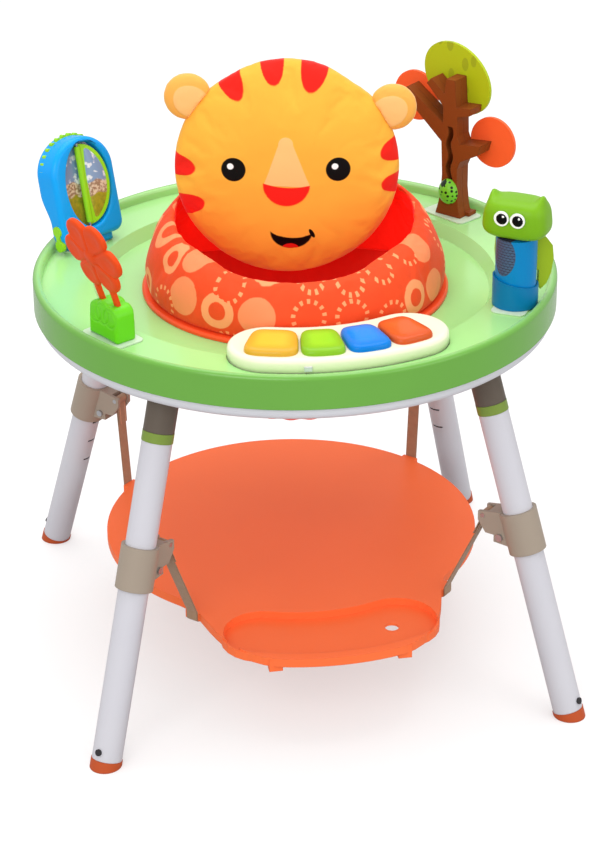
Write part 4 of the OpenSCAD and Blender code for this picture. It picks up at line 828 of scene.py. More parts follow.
class Wardrobe:
    """Makes each finish's material once and puts materials on pieces."""

    def __init__(self) -> None:
        """Start with no material made."""
        self.made: dict[str, Material] = {}

    def material(self, finish: Finish) -> Material:
        """Return the finish's material, made on first use."""
        if finish.name not in self.made:
            self.made[finish.name] = finish.value.material(finish.name.lower())
        return self.made[finish.name]

    def put_on(self, piece: Piece, material: Material) -> None:
        """Make the material the piece's only one."""
        piece.data.materials.clear()
        piece.data.materials.append(material)

    def dress_cad(self, nodes: dict[str, Piece]) -> None:
        """Give every listed CAD node its finish.

        Args:
            nodes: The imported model's nodes by name.
        """
        for finish, names in NODE_FINISHES.items():
            for name in names:
                self.put_on(nodes[name], self.material(finish))


def grid_quads(rows: int, columns: int, wrap_rows: bool, wrap_columns: bool) -> np.ndarray:
    """Quads of a grid of points, as point numbers: each joins a point to the next row and the next column.

    Args:
        rows, columns: Size of the grid.
        wrap_rows, wrap_columns: Whether the last row or column joins the first.

    Returns:
        An array of four point numbers a quad.
    """
    r = np.arange(rows if wrap_rows else rows - 1)[:, None]
    c = np.arange(columns if wrap_columns else columns - 1)[None, :]
    up, right = (r + 1) % rows, (c + 1) % columns
    quads = np.stack(np.broadcast_arrays(r * columns + c, r * columns + right, up * columns + right,
                                         up * columns + c), -1)
    return quads.reshape(-1, 4)


def make_piece(name: str, points: np.ndarray, faces: list) -> Piece:
    """Make a smooth mesh object at the origin from points and faces, with closed shells turned outwards.

    The faces are flipped where the shell's volume, a sum of triple products over its fans, is negative.

    Args:
        name: The piece's name.
        points: Points in metres, one row each.
        faces: Lists of point numbers.

    Returns:
        The new object.
    """
    volume = 0.0
    for size in {len(f) for f in faces}:
        same = np.array([f for f in faces if len(f) == size])
        for k in range(1, size - 1):
            a, b, c = points[same[:, 0]], points[same[:, k]], points[same[:, k + 1]]
            volume += float((a * np.cross(b, c)).sum())
    if volume < 0.0:
        faces = [list(f)[::-1] for f in faces]
    mesh = bpy.data.meshes.new(name)
    mesh.from_pydata(points.tolist(), [], [list(map(int, f)) for f in faces])
    mesh.polygons.foreach_set("use_smooth", np.ones(len(mesh.polygons), bool))
    mesh.update()
    piece = bpy.data.objects.new(name, mesh)
    bpy.context.scene.collection.objects.link(piece)
    return piece


def loft(name: str, rings: np.ndarray, wrap_rows: bool = False) -> Piece:
    """Make a closed shell from rings of points: quads between rings, and a flat cap on each open end.

    Args:
        name: The piece's name.
        rings: Array of rings by points by three.
        wrap_rows: Whether the last ring joins the first.

    Returns:
        The new object.
    """
    rows, columns = rings.shape[:2]
    faces = grid_quads(rows, columns, wrap_rows, True).tolist()
    if not wrap_rows:
        faces.append(list(range(columns))[::-1])
        faces.append(list(range((rows - 1) * columns, rows * columns)))
    return make_piece(name, rings.reshape(-1, 3), faces)


def points_of(mesh: bpy.types.Mesh) -> np.ndarray:
    """Return the mesh's points, one row each."""
    flat = np.zeros(len(mesh.vertices) * 3, np.float32)
    mesh.vertices.foreach_get("co", flat)
    return flat.reshape(-1, 3).astype(float)


def set_points(mesh: bpy.types.Mesh, points: np.ndarray) -> None:
    """Put the mesh's points where the rows say."""
    mesh.vertices.foreach_set("co", points.astype(np.float32).ravel())
    mesh.update()


def set_place(piece: Piece, name: str, places: np.ndarray) -> None:
    """Keep three numbers a point in an attribute of that name."""
    kept = piece.data.attributes.new(name, "FLOAT_VECTOR", "POINT")
    kept.data.foreach_set("vector", places.astype(np.float32).ravel())


def subdivide(piece: Piece, levels: int = 1) -> None:
    """Finish a piece with a subdivision surface."""
    finish = piece.modifiers.new("subdivision", "SUBSURF")
    finish.levels = levels
    finish.render_levels = levels


def lengths(line: np.ndarray) -> np.ndarray:
    """Return the length along a line at each of its points."""
    return np.append(0.0, np.cumsum(np.linalg.norm(np.diff(line, axis=0), axis=1)))


def evenly(line: np.ndarray, count: int) -> np.ndarray:
    """Return count points at even lengths along a line."""
    gone = lengths(line)
    at = np.linspace(0.0, gone[-1], count)
    return np.stack([np.interp(at, gone, line[:, k]) for k in range(line.shape[1])], -1)


def wear(piece: Piece, material: Material, slot: str, *nodes: str) -> None:
    """Give a piece its material, and let it stand for CAD nodes."""
    piece.data.materials.append(material)
    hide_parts(*nodes)


def dress(piece: Piece, material: Material, slot: str, body: str, *nodes: str) -> None:
    """Give a piece its material and CAD nodes, and let it ride on a body."""
    wear(piece, material, slot, *nodes)
    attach(piece, body)


def shell(name: str, rings: np.ndarray, material: Material, slot: str, body: str, *nodes: str) -> Piece:
    """Make a closed shell from rings of points, dress it and return it."""
    made = loft(name, rings)
    dress(made, material, slot, body, *nodes)
    return made


@dataclass(frozen=True)
class Stuffing:
    """Swells a closed cover with a short cloth simulation under inner pressure."""

    voxel: float = 0.005
    pressure: float = 4.0
    frames: int = 20
    cap: float = 0.007
    slack: float = -0.012
    quality: int = 6
    mass: float = 0.25
    stiffness: float = 12.0
    bending: float = 0.3

    def swell(self, cover: Piece, held: Callable[[np.ndarray], np.ndarray]) -> Piece:
        """Remesh the cover evenly, let cloth under pressure swell it, and keep each point within the cap.

        Args:
            cover: Closed shell, a little smaller than the filled piece.
            held: Gives the points that are sewn down, as a share from 0 to 1 a point.

        Returns:
            The swollen piece, which takes the cover's name and place.
        """
        remesh = cover.modifiers.new("even", "REMESH")
        remesh.mode = "VOXEL"
        remesh.voxel_size = self.voxel
        remesh.use_smooth_shade = True
        graph = bpy.context.evaluated_depsgraph_get()
        even = bpy.data.meshes.new_from_object(cover.evaluated_get(graph))
        cover.modifiers.clear()
        cover.data = even
        start = points_of(even)
        self.simulate(cover, held(start))
        moved = points_of(even) - start
        length = np.linalg.norm(moved, axis=1, keepdims=True)
        set_points(even, start + moved * np.minimum(1.0, self.cap / np.maximum(length, TINY)))
        even.polygons.foreach_set("use_smooth", np.ones(len(even.polygons), bool))
        return cover

    def simulate(self, cover: Piece, held: np.ndarray) -> None:
        """Run the cloth for its frames and keep the last shape in the cover's mesh.

        Args:
            cover: Evenly meshed cover.
            held: Share from 0 to 1 by which each point is pinned.
        """
        pins = cover.vertex_groups.new(name="sewn")
        for share in np.unique(np.round(held, 1)):
            pins.add(np.flatnonzero(np.round(held, 1) == share).tolist(), float(share), "REPLACE")
        cloth = cover.modifiers.new("cloth", "CLOTH")
        settings = cloth.settings
        settings.quality = self.quality
        settings.mass = self.mass
        settings.use_pressure = True
        settings.uniform_pressure_force = self.pressure
        settings.effector_weights.gravity = 0.0
        settings.vertex_group_mass = pins.name
        settings.shrink_min = self.slack
        settings.tension_stiffness = self.stiffness
        settings.compression_stiffness = self.stiffness
        settings.bending_stiffness = self.bending
        cloth.point_cache.frame_start = 1
        cloth.point_cache.frame_end = self.frames
        scene = bpy.context.scene
        for step in range(1, self.frames + 1):
            scene.frame_set(step)
        swollen = cover.evaluated_get(bpy.context.evaluated_depsgraph_get())
        points = points_of(swollen.to_mesh())
        swollen.to_mesh_clear()
        cover.modifiers.clear()
        cover.vertex_groups.clear()
        scene.frame_set(1)
        set_points(cover.data, points)


@dataclass(frozen=True)
class Studio:
    """Camera fitted to the photograph, soft lamps, a pale floor and a white surround."""

    place: Triple = (-0.5928, -3.2510, 1.9621)
    back: Triple = (-0.16490, -0.87978, 0.44586)
    roll: float = -0.29976
    lens: float = 114.27
    floor_half: float = 9.0
    floor_lines: int = 9
    floor_drop: float = 0.0005
    floor_colour: Colour = (0.5, 0.5, 0.5)
    floor_glow: float = 0.5
    sky: float = 0.86
    aim: Triple = (0.0, 0.0, 0.45)

    def set_up(self) -> None:
        """Make the camera, lamps, floor and world."""
        bpy.context.scene.view_settings.view_transform = "Standard"
        self.make_camera()
        self.make_lamp("key", (-1.9, -3.2, 2.5), size=2.6, watts=60.0)
        self.make_lamp("fill", (2.6, -2.6, 1.8), size=2.4, watts=24.0)
        self.make_lamp("top", (0.2, 0.6, 3.6), size=3.0, watts=64.0)
        self.make_floor()
        self.make_world()

    def make_camera(self) -> None:
        """Make the camera: it looks along minus back, with its up turned by the roll."""
        data = bpy.data.cameras.new("camera")
        data.lens = self.lens
        data.sensor_width = 36.0
        data.clip_end = 100.0
        camera = bpy.data.objects.new("camera", data)
        bpy.context.scene.collection.objects.link(camera)
        back = Vector(self.back).normalized()
        right = Vector((0.0, 0.0, 1.0)).cross(back).normalized()
        up = back.cross(right)
        c, s = math.cos(math.radians(self.roll)), math.sin(math.radians(self.roll))
        side, top = c * right + s * up, c * up - s * right
        turn = Matrix((side, top, back)).transposed()
        camera.matrix_world = Matrix.Translation(self.place) @ turn.to_4x4()
        bpy.context.scene.camera = camera

    def make_lamp(self, name: str, place: Sequence[float], size: float, watts: float) -> None:
        """Make a square soft lamp that faces the middle of the object."""
        data = bpy.data.lights.new(name, "AREA")
        data.energy = watts
        data.size = size
        lamp = bpy.data.objects.new(name, data)
        lamp.location = place
        lamp.rotation_euler = (Vector(self.aim) - Vector(place)).to_track_quat("-Z", "Y").to_euler()
        bpy.context.scene.collection.objects.link(lamp)

    def make_floor(self) -> None:
        """Make the floor: a wide flat grid that glows a little for the camera, so that it shows white."""
        line = np.linspace(-self.floor_half, self.floor_half, self.floor_lines)
        points = points_at(line[:, None], line[None], -self.floor_drop).reshape(-1, 3)
        quads = grid_quads(self.floor_lines, self.floor_lines, False, False)
        floor = make_piece("floor", points, quads.tolist())
        maker = NodeMaker(bpy.data.materials.new("studio_floor"))
        glow = maker.math("MULTIPLY", maker.seen(), self.floor_glow)
        floor.data.materials.append(maker.set(Base_Color=self.floor_colour, Roughness=0.9,
                                              Specular_IOR_Level=0.0, Emission_Color=WHITE,
                                              Emission_Strength=glow))

    def make_world(self) -> None:
        """Make the world: soft grey light on the object, plain white to the camera."""
        maker = NodeMaker(bpy.data.worlds.new("studio"), "Background")
        level = maker.ramp(maker.seen(), 0.0, 1.0, self.sky, 1.0)
        bpy.context.scene.world = maker.set(Color=WHITE, Strength=level)


@dataclass(frozen=True)
class SeatFabric:
    """Padded print collar, sling with leg holes and crotch pad of the turning seat."""

    turn: float = -10.6
    foot_z: float = 0.5286
    foot_r: float = 0.2053
    front_z: float = 0.603
    back_z: float = 0.655
    thick: float = 0.026
    lean: float = 0.085
    curve: float = 2.5
    nest_share: float = 0.4
    nest_turn: float = 18.0
    nest_spread: float = 16.0
    roll: float = 0.020
    roll_turn: float = -42.0
    roll_spread: float = 20.0
    back_y: float = 0.0846
    start_inset: float = 0.0025
    edge_power: float = 0.62
    pad_grid: tuple[int, int] = (200, 44)
    foot_lift: float = 0.0004
    folds: Rows = ((0.0017, 7.0, 55.0), (0.0013, 13.0, -80.0))  # depth, number, lean a metre of height
    fold_end: float = 0.3
    lining_drop: float = 0.008
    lip_reach: float = -0.004
    lip_seam: float = 0.009
    seam_half: float = 0.004
    foot_seam: float = 0.006
    seam_turns: tuple[float, ...] = (-150.0, -30.0, 30.0, 150.0)
    print_r: float = 0.19
    sling_r: float = 0.1652
    sling_top_z: float = 0.5274
    sling_band: float = 0.024
    sling_draw: float = 0.066
    sling_z: float = 0.3736
    band_share: float = 0.1
    wall_share: float = 0.6
    sling_middle_r: float = 0.004
    sling_fold: float = 0.0022
    sling_folds: int = 26
    sling_grid: tuple[int, int] = (180, 90)
    sling_t: float = 0.002
    leg_hole_r: float = 0.05
    leg_hole_turn: float = 42.0
    leg_hole_z: float = 0.434
    crotch_w: float = 0.09
    crotch_l: float = 0.15
    crotch_z: float = 0.3762
    crotch_t: float = 0.012
    crotch_inset: float = 0.002
    crotch_seam: float = 0.003
    crotch_swell: float = 0.003

    def out_r(self, z: np.ndarray) -> np.ndarray:
        """Outer radius of the collar at a height: it leans in and rounds in with height over its foot."""
        rise = z - self.foot_z
        return self.foot_r - self.lean * rise - self.curve * rise ** 2

    def top_z(self, angle: np.ndarray) -> np.ndarray:
        """Height of the collar's lip at an angle of the seat: low at the front, high at the back."""
        return self.front_z + (self.back_z - self.front_z) * (1.0 + np.sin(angle)) / 2.0

    def in_r(self, angle: np.ndarray, z: np.ndarray) -> np.ndarray:
        """Inner radius of the collar: its outer one less its depth.

        It is thinner where the head cushion nests, and its lip is fuller on both sides of the front.

        Args:
            angle: Angles round the seat.
            z: Heights.

        Returns:
            The radii.
        """
        side = np.degrees(np.arcsin(np.sin(angle)))
        nest = self.nest_share * bell(side - self.nest_turn, self.nest_spread)
        up = np.clip((z - self.foot_z) / (self.top_z(angle) - self.foot_z), 0.0, 1.0)
        swell = self.roll * up * bell(side - self.roll_turn, self.roll_spread)
        depth = self.thick * (1.0 - nest) + swell
        flat = self.back_y / np.maximum(np.sin(angle), TINY)
        back = np.where(np.sin(angle) > 0.2, flat, 1.0)
        return np.minimum(self.out_r(z) - depth, back)

    def own_place(self, points: np.ndarray) -> tuple[np.ndarray, np.ndarray, np.ndarray, np.ndarray]:
        """Return points' angle, radius and height in the seat's frame, and the wall's middle radius."""
        x, y, z = turn_z(points, -self.turn).T
        angle = np.arctan2(y, x)
        return angle, np.hypot(x, y), z, (self.out_r(z) + self.in_r(angle, z)) / 2.0

    def build_pad(self, stuffing: Stuffing, material: Material) -> Piece:
        """Build the padded collar: a rounded section carried round the seat, swollen between its seams.

        Its folds fade where the wall is thin, so that its two sides stay apart.

        Args:
            stuffing: How the cover is swollen.
            material: The printed cloth.

        Returns:
            The padded piece.
        """
        angle, turn = np.meshgrid(*(full_turn(count) for count in self.pad_grid), indexing="ij")
        across, rise = rounded(turn, self.edge_power)
        rise = (1.0 + rise) / 2.0
        low, high = self.foot_z + self.foot_lift, self.top_z(angle) - self.start_inset
        z = low + (high - low) * rise
        over = z - low
        folds = sum(deep * np.sin(count * angle + lean * over) for deep, count, lean in self.folds)
        wall = self.out_r(z) - self.in_r(angle, z)
        loose = 4.0 * rise * (1.0 - rise) * np.clip(1.4 * wall / self.thick - 0.5, 0.0, 1.0)
        out = self.out_r(z) - self.start_inset + loose * folds * (np.sin(angle) < self.fold_end)
        inner = self.in_r(angle, z) + self.start_inset
        r = (out + inner) / 2.0 + across * (out - inner) / 2.0
        rings = points_at(r * np.cos(angle), r * np.sin(angle), z)
        pad = loft("seat_collar_pad", turn_z(rings, self.turn), True)
        stuffing.swell(pad, self.pad_seams)
        points = points_of(pad.data)
        points[:, 2] = np.maximum(points[:, 2], self.foot_z)
        set_points(pad.data, points)
        set_place(pad, "print_place", self.print_places(points))
        subdivide(pad)
        dress(pad, material, "print", "seat", "seat_pad")
        return pad

    def pad_seams(self, points: np.ndarray) -> np.ndarray:
        """Share by which each point of the collar is sewn down: foot, lip seam and four upright seams."""
        angle, radius, z, middle = self.own_place(points)
        uprights = np.radians(self.seam_turns)
        near = np.abs((angle[:, None] - uprights[None] + math.pi) % math.tau - math.pi).min(1)
        foot = z < self.foot_z + self.foot_seam
        seam = (near * radius < self.seam_half) & (radius > middle)
        lip = (z > self.top_z(angle) - self.lip_seam) & (radius < middle)
        return (foot | seam | lip).astype(float)

    def print_places(self, points: np.ndarray) -> np.ndarray:
        """Place of each point on the print: length round the seat, height up the cloth, reach inside."""
        angle, radius, z, middle = self.own_place(points)
        from_back = (angle - math.pi / 2.0) % math.tau
        inner = middle - radius
        up = np.where(inner > 0.0, 2.0 * self.top_z(angle) - z, z)
        hidden = np.where(z < self.top_z(angle) - self.lining_drop, inner, self.lip_reach)
        return points_at(from_back * self.print_r, up, hidden)

    def build_sling(self, material: Material) -> Piece:
        """Build the sling: a band, then a wall drawn in on a quarter wave to a flat seat, with two leg holes.

        A point inside a leg hole's round is pushed out to its edge, and quads wholly inside are left out.

        Args:
            material: The lining cloth.

        Returns:
            The sheet piece.
        """
        around, down = self.sling_grid
        angle, share = np.meshgrid(full_turn(around), np.linspace(0.0, 1.0, down), indexing="ij")
        floor_start = self.band_share + self.wall_share
        band = np.clip(share / self.band_share, 0.0, 1.0)
        wall = np.clip((share - self.band_share) / self.wall_share, 0.0, 1.0) * math.pi / 2.0
        floor = np.clip((share - floor_start) / (1.0 - floor_start), 0.0, 1.0)
        drop = self.sling_top_z - self.sling_band - self.sling_z
        z = self.sling_top_z - self.sling_band * band - drop * np.sin(wall)
        r = self.sling_r - self.sling_draw * (1.0 - np.cos(wall))
        r = r * (1.0 - floor) + self.sling_middle_r * floor
        loose = np.sin(wall) * (1.0 - floor) * np.clip(2.0 * wall, 0.0, 1.0)
        r = r + self.sling_fold * np.sin(self.sling_folds * angle) * loose - self.sling_fold
        own, gone = self.cut_leg_holes(points_at(r * np.cos(angle), r * np.sin(angle), z).reshape(-1, 3))
        quads = grid_quads(around, down, True, False)
        kept = quads[~gone[quads].all(1)]
        used, back = np.unique(kept, return_inverse=True)
        sling = make_piece("sling_cloth", turn_z(own[used], self.turn), back.reshape(-1, 4).tolist())
        thick = sling.modifiers.new("cloth", "SOLIDIFY")
        thick.thickness = self.sling_t
        thick.offset = 0.0
        wear(sling, material, "lining", "seat_sling")
        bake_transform(sling)
        return sling

    def cut_leg_holes(self, own: np.ndarray) -> tuple[np.ndarray, np.ndarray]:
        """Push points inside a leg hole out to its edge.

        Args:
            own: Points in the seat's frame.

        Returns:
            The moved points, and which of them were inside a hole.
        """
        moved, gone = own.copy(), np.zeros(len(own), bool)
        for side in (-1.0, 1.0):
            outward = np.append(polar(1.0, -90.0 + side * self.leg_hole_turn), 0.0)
            across, upward = np.array([-outward[1], outward[0], 0.0]), np.array([0.0, 0.0, 1.0])
            x, y = own @ across, own[:, 2] - self.leg_hole_z
            reach = np.hypot(x, y)
            inside = (reach < self.leg_hole_r) & (own @ outward > self.crotch_w / 2.0)
            push = np.where(inside, self.leg_hole_r / np.maximum(reach, TINY) - 1.0, 0.0)
            moved = moved + (x * push)[:, None] * across + (y * push)[:, None] * upward
            gone = gone | inside
        return moved, gone

    def build_crotch_pad(self, stuffing: Stuffing, material: Material) -> Piece:
        """Build the crotch pad: a flat rounded cushion whose section is a superellipse, swollen.

        Args:
            stuffing: How the cover is swollen.
            material: The lining cloth.

        Returns:
            The padded piece.
        """
        spin, tilt = ball_grid(96, 25)
        reach = signed_power(np.cos(tilt), 0.35)
        along, beside = rounded(spin, 0.45)
        x = (self.crotch_w / 2.0 - self.crotch_inset) * along * reach
        y = (self.crotch_l / 2.0 - self.crotch_inset) * beside * reach
        half = self.crotch_t / 2.0
        z = self.crotch_z + half + (half - self.crotch_inset / 2.0) * signed_power(np.sin(tilt), 0.7)
        pad = loft("crotch_cushion", turn_z(points_at(x, y, z), self.turn))
        sewn_z, top_z = self.crotch_z + self.crotch_seam, self.crotch_z + self.crotch_t + self.crotch_swell
        stuffing.swell(pad, lambda points: (points[:, 2] < sewn_z).astype(float))
        points = points_of(pad.data)
        points[:, 2] = np.clip(points[:, 2], self.crotch_z, top_z)
        set_points(pad.data, points)
        subdivide(pad)
        dress(pad, material, "lining", "sling", "crotch_pad")
        return pad


@dataclass(frozen=True)
class HeadCushion:
    """Round head cushion with an animal face and two ears, standing at the back of the seat."""

    turn: float = -10.6
    centre: Triple = (-0.010, 0.042, 0.676)
    tilt: float = 3.4
    radius: float = 0.151
    thick: float = 0.084
    ear_r: float = 0.033
    ear_t: float = 0.030
    ear_reach: float = 0.163
    ear_angle: float = 34.0
    ear_sink: float = 0.004
    ear_inset: float = 0.001
    dents: Rows = ((0.022, 58.0, 12.0), (0.014, 126.0, 13.0), (0.008, -62.0, 22.0), (0.008, -128.0, 22.0))
    head_seam_half: float = 0.004
    ear_seam_half: float = 0.003
    ear_sewn: float = 0.006
    start_inset: float = 0.003

    def to_world(self, own: np.ndarray) -> np.ndarray:
        """Put points of the head's frame, X right, Y up and Z out of the face, into the CAD frame."""
        upright = turn_x(turn_z(own, -self.tilt), 90.0)
        return turn_z(upright + np.array(self.centre), self.turn)

    def to_own(self, world: np.ndarray) -> np.ndarray:
        """Put points of the CAD frame into the head's frame."""
        upright = turn_z(world, -self.turn) - np.array(self.centre)
        return turn_z(turn_x(upright, -90.0), self.tilt)

    def crown(self, radius: float, thick: float, count: int) -> np.ndarray:
        """Points of a crowned round cushion: radius is a power of a cosine, depth a power of a sine.

        Args:
            radius: Radius of the cushion's seam.
            thick: Thickness at its middle.
            count: Points round it.

        Returns:
            Array of rings by points by three, from back to front.
        """
        spin, rise = ball_grid(count, 33)
        reach = radius * np.cos(rise) ** 0.72
        depth = thick / 2.0 * signed_power(np.sin(rise), 0.92)
        return points_at(reach * np.cos(spin), reach * np.sin(spin), depth)

    def build_head(self, stuffing: Stuffing, material: Material) -> Piece:
        """Build the head: a crowned round cover, swollen with its edge seam held.

        Args:
            stuffing: How the cover is swollen.
            material: The face cloth.

        Returns:
            The padded piece.
        """
        rings = self.crown(self.radius - self.start_inset * 0.4, self.thick - 2.0 * self.start_inset, 128)
        rings[..., :2] *= self.slump(np.degrees(np.arctan2(rings[..., 1], rings[..., 0])))[..., None]
        head = loft("head_cushion_cover", self.to_world(rings))
        stuffing.swell(head, self.head_seam)
        set_place(head, "face_place", self.to_own(points_of(head.data)))
        subdivide(head)
        dress(head, material, "plush", "seat", "head_cushion")
        return head

    def slump(self, at: np.ndarray) -> np.ndarray:
        """Share of the round that the sewn head reaches at an angle: dents beside the ears and the chin."""
        return 1.0 - sum(deep * bell(at - middle, spread) for deep, middle, spread in self.dents)

    def head_seam(self, points: np.ndarray) -> np.ndarray:
        """Share by which each point of the head is held: the seam round its edge."""
        own = self.to_own(points)
        return (np.abs(own[:, 2]) < self.head_seam_half).astype(float)

    def build_ear(self, side: float, material: Material, swells: Stuffing) -> Piece:
        """Build one ear: a small crowned cushion whose inner edge is sunk to the head's round.

        Args:
            side: -1 for the left ear, 1 for the right.
            material: The ear cloth.
            swells: How the cover is swollen.

        Returns:
            The padded piece.
        """
        at = self.ear_angle if side > 0.0 else 180.0 - self.ear_angle
        middle = np.append(polar(self.ear_reach, at), 0.0)
        rings = self.crown(self.ear_r - self.ear_inset, self.ear_t - self.start_inset, 64)
        own = rings + middle
        reach = np.hypot(own[..., 0], own[..., 1])
        clear = np.maximum(reach, self.radius - self.ear_sink)
        own[..., :2] *= (clear / reach)[..., None]
        ear = loft("ear_right" if side > 0.0 else "ear_left", self.to_world(own))
        swells.swell(ear, self.ear_seam)
        local = self.to_own(points_of(ear.data)) - middle
        set_place(ear, "ear_place", turn_z(local, 90.0 - at))
        subdivide(ear)
        dress(ear, material, "plush", "seat", "head_ears")
        return ear

    def ear_seam(self, points: np.ndarray) -> np.ndarray:
        """Share by which each point of an ear is held: its edge seam and the side sewn to the head."""
        own = self.to_own(points)
        sewn = np.hypot(own[:, 0], own[:, 1]) < self.radius + self.ear_sewn
        return ((np.abs(own[:, 2]) < self.ear_seam_half) | sewn).astype(float)


@dataclass(frozen=True)
class BoardStraps:
    """Four webbing straps that carry the footboard from the collars on the legs."""

    pin_r: float = 0.308
    pin_z: float = 0.270
    loop_r: float = 0.0044
    loop_turns: Pair = (-68.0, 248.0)
    width: float = 0.018
    thick: float = 0.002
    board_z: float = 0.138
    under_z: float = 0.1228
    corner_r: float = 0.004
    tail: float = 0.025
    front_edge: float = 0.2482
    back_edge: float = 0.3002
    doubled: float = 0.034
    lap_gap: float = 0.0005

    def legs(self) -> list[tuple[str, float, float]]:
        """Name, angle and board edge of each strap's leg."""
        edges = (self.front_edge, self.front_edge, self.back_edge, self.back_edge)
        return list(zip(LEGS, (225.0, 315.0, 135.0, 45.0), edges))

    def route(self, edge: float) -> np.ndarray:
        """Middle line of a strap in its leg's plane, as radius and height.

        It runs from under the board round its edge, straight to the pin, round it, and back down the strap.

        Args:
            edge: Radius of the strap where it passes the board's edge.

        Returns:
            Points of the line, evenly spaced.
        """
        pin, foot = np.array([self.pin_r, self.pin_z]), np.array([edge, self.board_z])
        rise = (pin - foot) / np.linalg.norm(pin - foot)
        side = np.array([rise[1], -rise[0]])
        turn = np.linspace(*np.radians(self.loop_turns), 40)[:, None]
        loop = pin + self.loop_r * (np.cos(turn) * side + np.sin(turn) * rise)
        bend = quarter_turn(10)[:, None]
        middle = np.array([edge - self.corner_r, self.under_z + self.corner_r])
        corner = middle + self.corner_r * np.hstack([np.sin(bend), -np.cos(bend)])
        start = np.array([[edge - self.tail, self.under_z]])
        end = loop[-1:] - rise * self.doubled + side * self.lap_gap
        return evenly(np.concatenate([start, corner, foot[None], loop, end]), 260)

    def build(self, material: Material) -> list[Piece]:
        """Build the straps: a thin rounded section carried along each route.

        Args:
            material: The webbing.

        Returns:
            The four pieces.
        """
        made = []
        turn = full_turn(20)
        across = self.width / 2.0 * signed_power(np.cos(turn), 0.3)
        over = self.thick / 2.0 * signed_power(np.sin(turn), 0.6)
        for name, at, edge in self.legs():
            route = self.route(edge)
            ahead = np.gradient(route, axis=0)
            ahead = ahead / np.linalg.norm(ahead, axis=1, keepdims=True)
            normal = np.stack([-ahead[:, 1], ahead[:, 0]], -1)
            flat = route[:, None] + normal[:, None] * over[None, :, None]
            strap = loft(f"board_strap_{name}", turn_z(points_at(flat[..., 0], across, flat[..., 1]), at))
            along = lengths(route)[:, None]
            set_place(strap, "strap_place", points_at(across, along, along[-1] - along))
            wear(strap, material, "webbing", "footboard_straps")
            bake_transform(strap)
            made.append(strap)
        return made


@dataclass(frozen=True)
class Piano:
    """Rounded cover of the piano toy and its four domed keys."""

    turn: float = 2.5
    middle_r: float = 0.2605
    half_wide: float = 0.0515
    half_turn: float = 20.5
    low_z: float = 0.5374
    top_z: float = 0.5572
    edge: float = 0.007
    top_rings: tuple[float, ...] = (0.036, 0.016, 0.002)
    key_middle_r: float = 0.2685
    key_half_long: float = 0.0344
    key_pitch: float = 11.8
    key_half: float = 0.0267
    first_extra: float = 0.012
    key_low_z: float = 0.5487
    key_top_z: float = 0.5662
    key_power: float = 0.47
    key_profile: Rows = ((1.0, 0.0), (1.0, 0.55), (0.995, 0.66), (0.975, 0.78), (0.94, 0.87), (0.88, 0.93),
                         (0.78, 0.965), (0.62, 0.985), (0.4, 0.995), (0.2, 0.999), (0.03, 1.0))

    def build_cover(self, material: Material) -> Piece:
        """Build the cover: a bar bent on an arc, whose outline draws in on a quarter round at its top edge.

        The outline at a reach is all points that far from the middle arc: two arcs and two half rounds.

        Args:
            material: The cover's finish.

        Returns:
            The new piece.
        """
        bend, half = quarter_turn(8), math.radians(self.half_turn)
        reach = np.concatenate([[self.half_wide - 0.002, self.half_wide],
                                self.half_wide - self.edge * (1.0 - np.cos(bend)), self.top_rings])
        z = np.concatenate([[self.low_z, self.low_z + 0.0005], self.top_z - self.edge * (1.0 - np.sin(bend)),
                            np.full(len(self.top_rings), self.top_z)])
        along, cap = np.linspace(-half, half, 60), np.linspace(0.0, math.pi, 28)[1:-1]
        lean = np.concatenate([along, np.full_like(cap, half), along[::-1], np.full_like(cap, -half)])
        swing = np.concatenate([np.zeros_like(along), cap, np.full_like(along, math.pi), math.pi + cap])
        x = self.middle_r * np.cos(lean) + reach[:, None] * np.cos(lean + swing)
        y = self.middle_r * np.sin(lean) + reach[:, None] * np.sin(lean + swing)
        return shell("piano_cover", turn_z(points_at(x, y, z[:, None]), self.turn - 90.0),
                     material, "cream", "frame", "piano_case")

    def build_key(self, index: int, name: str, finish: KeyGloss) -> Piece:
        """Build a key: a superellipse in radius and angle that draws in on a soft shoulder to a domed top.

        Its profile holds the share of the size and the share of the height of each ring, from the foot up.

        Args:
            index: Its number from the left.
            name: Its CAD node and body.
            finish: Its gloss.

        Returns:
            The new piece.
        """
        share, rise = np.array(self.key_profile).T[..., None]
        extra = self.first_extra / 2.0 if index == 0 else 0.0
        middle = (index - 1.5) * self.key_pitch - math.degrees(extra / self.key_middle_r)
        long, wide = rounded(full_turn(72), self.key_power)
        radius = self.key_middle_r + self.key_half_long * share * long
        swing = (self.key_half + extra) / self.key_middle_r * share * wide
        z = self.key_low_z + (self.key_top_z - self.key_low_z) * rise
        rings = points_at(radius * np.cos(swing), radius * np.sin(swing), z)
        key = loft(f"{name}_cap", turn_z(rings, self.turn - 90.0 + middle))
        set_place(key, "key_place", points_at(np.broadcast_to(share, radius.shape), 0.0, 0.0))
        subdivide(key)
        dress(key, finish.material(f"{name}_gloss"), name.split("_")[1], name, name)
        return key

    def build(self, cream: Material) -> list[Piece]:
        """Build the cover and the keys."""
        colours = {"key_yellow": linear(248, 188, 60), "key_lime": linear(152, 212, 46),
                   "key_blue": linear(2, 138, 240), "key_orange": linear(236, 98, 44)}
        keys = [self.build_key(i, name, KeyGloss(c)) for i, (name, c) in enumerate(colours.items())]
        return [self.build_cover(cream), *keys]


@dataclass(frozen=True)
class ToyPlace:
    """Where a toy stands on the tray: its angle round the tray and its own turn on its plate."""

    angle: float
    turn: float
    reach: float = 0.305
    z: float = 0.5412

    def to_world(self, own: np.ndarray) -> np.ndarray:
        """Put points of the toy's frame, -Y out of its front and Z up, into the CAD frame."""
        flat = polar(self.reach, self.angle)
        return turn_z(own, self.angle + self.turn - 90.0) + np.array([flat[0], flat[1], self.z])


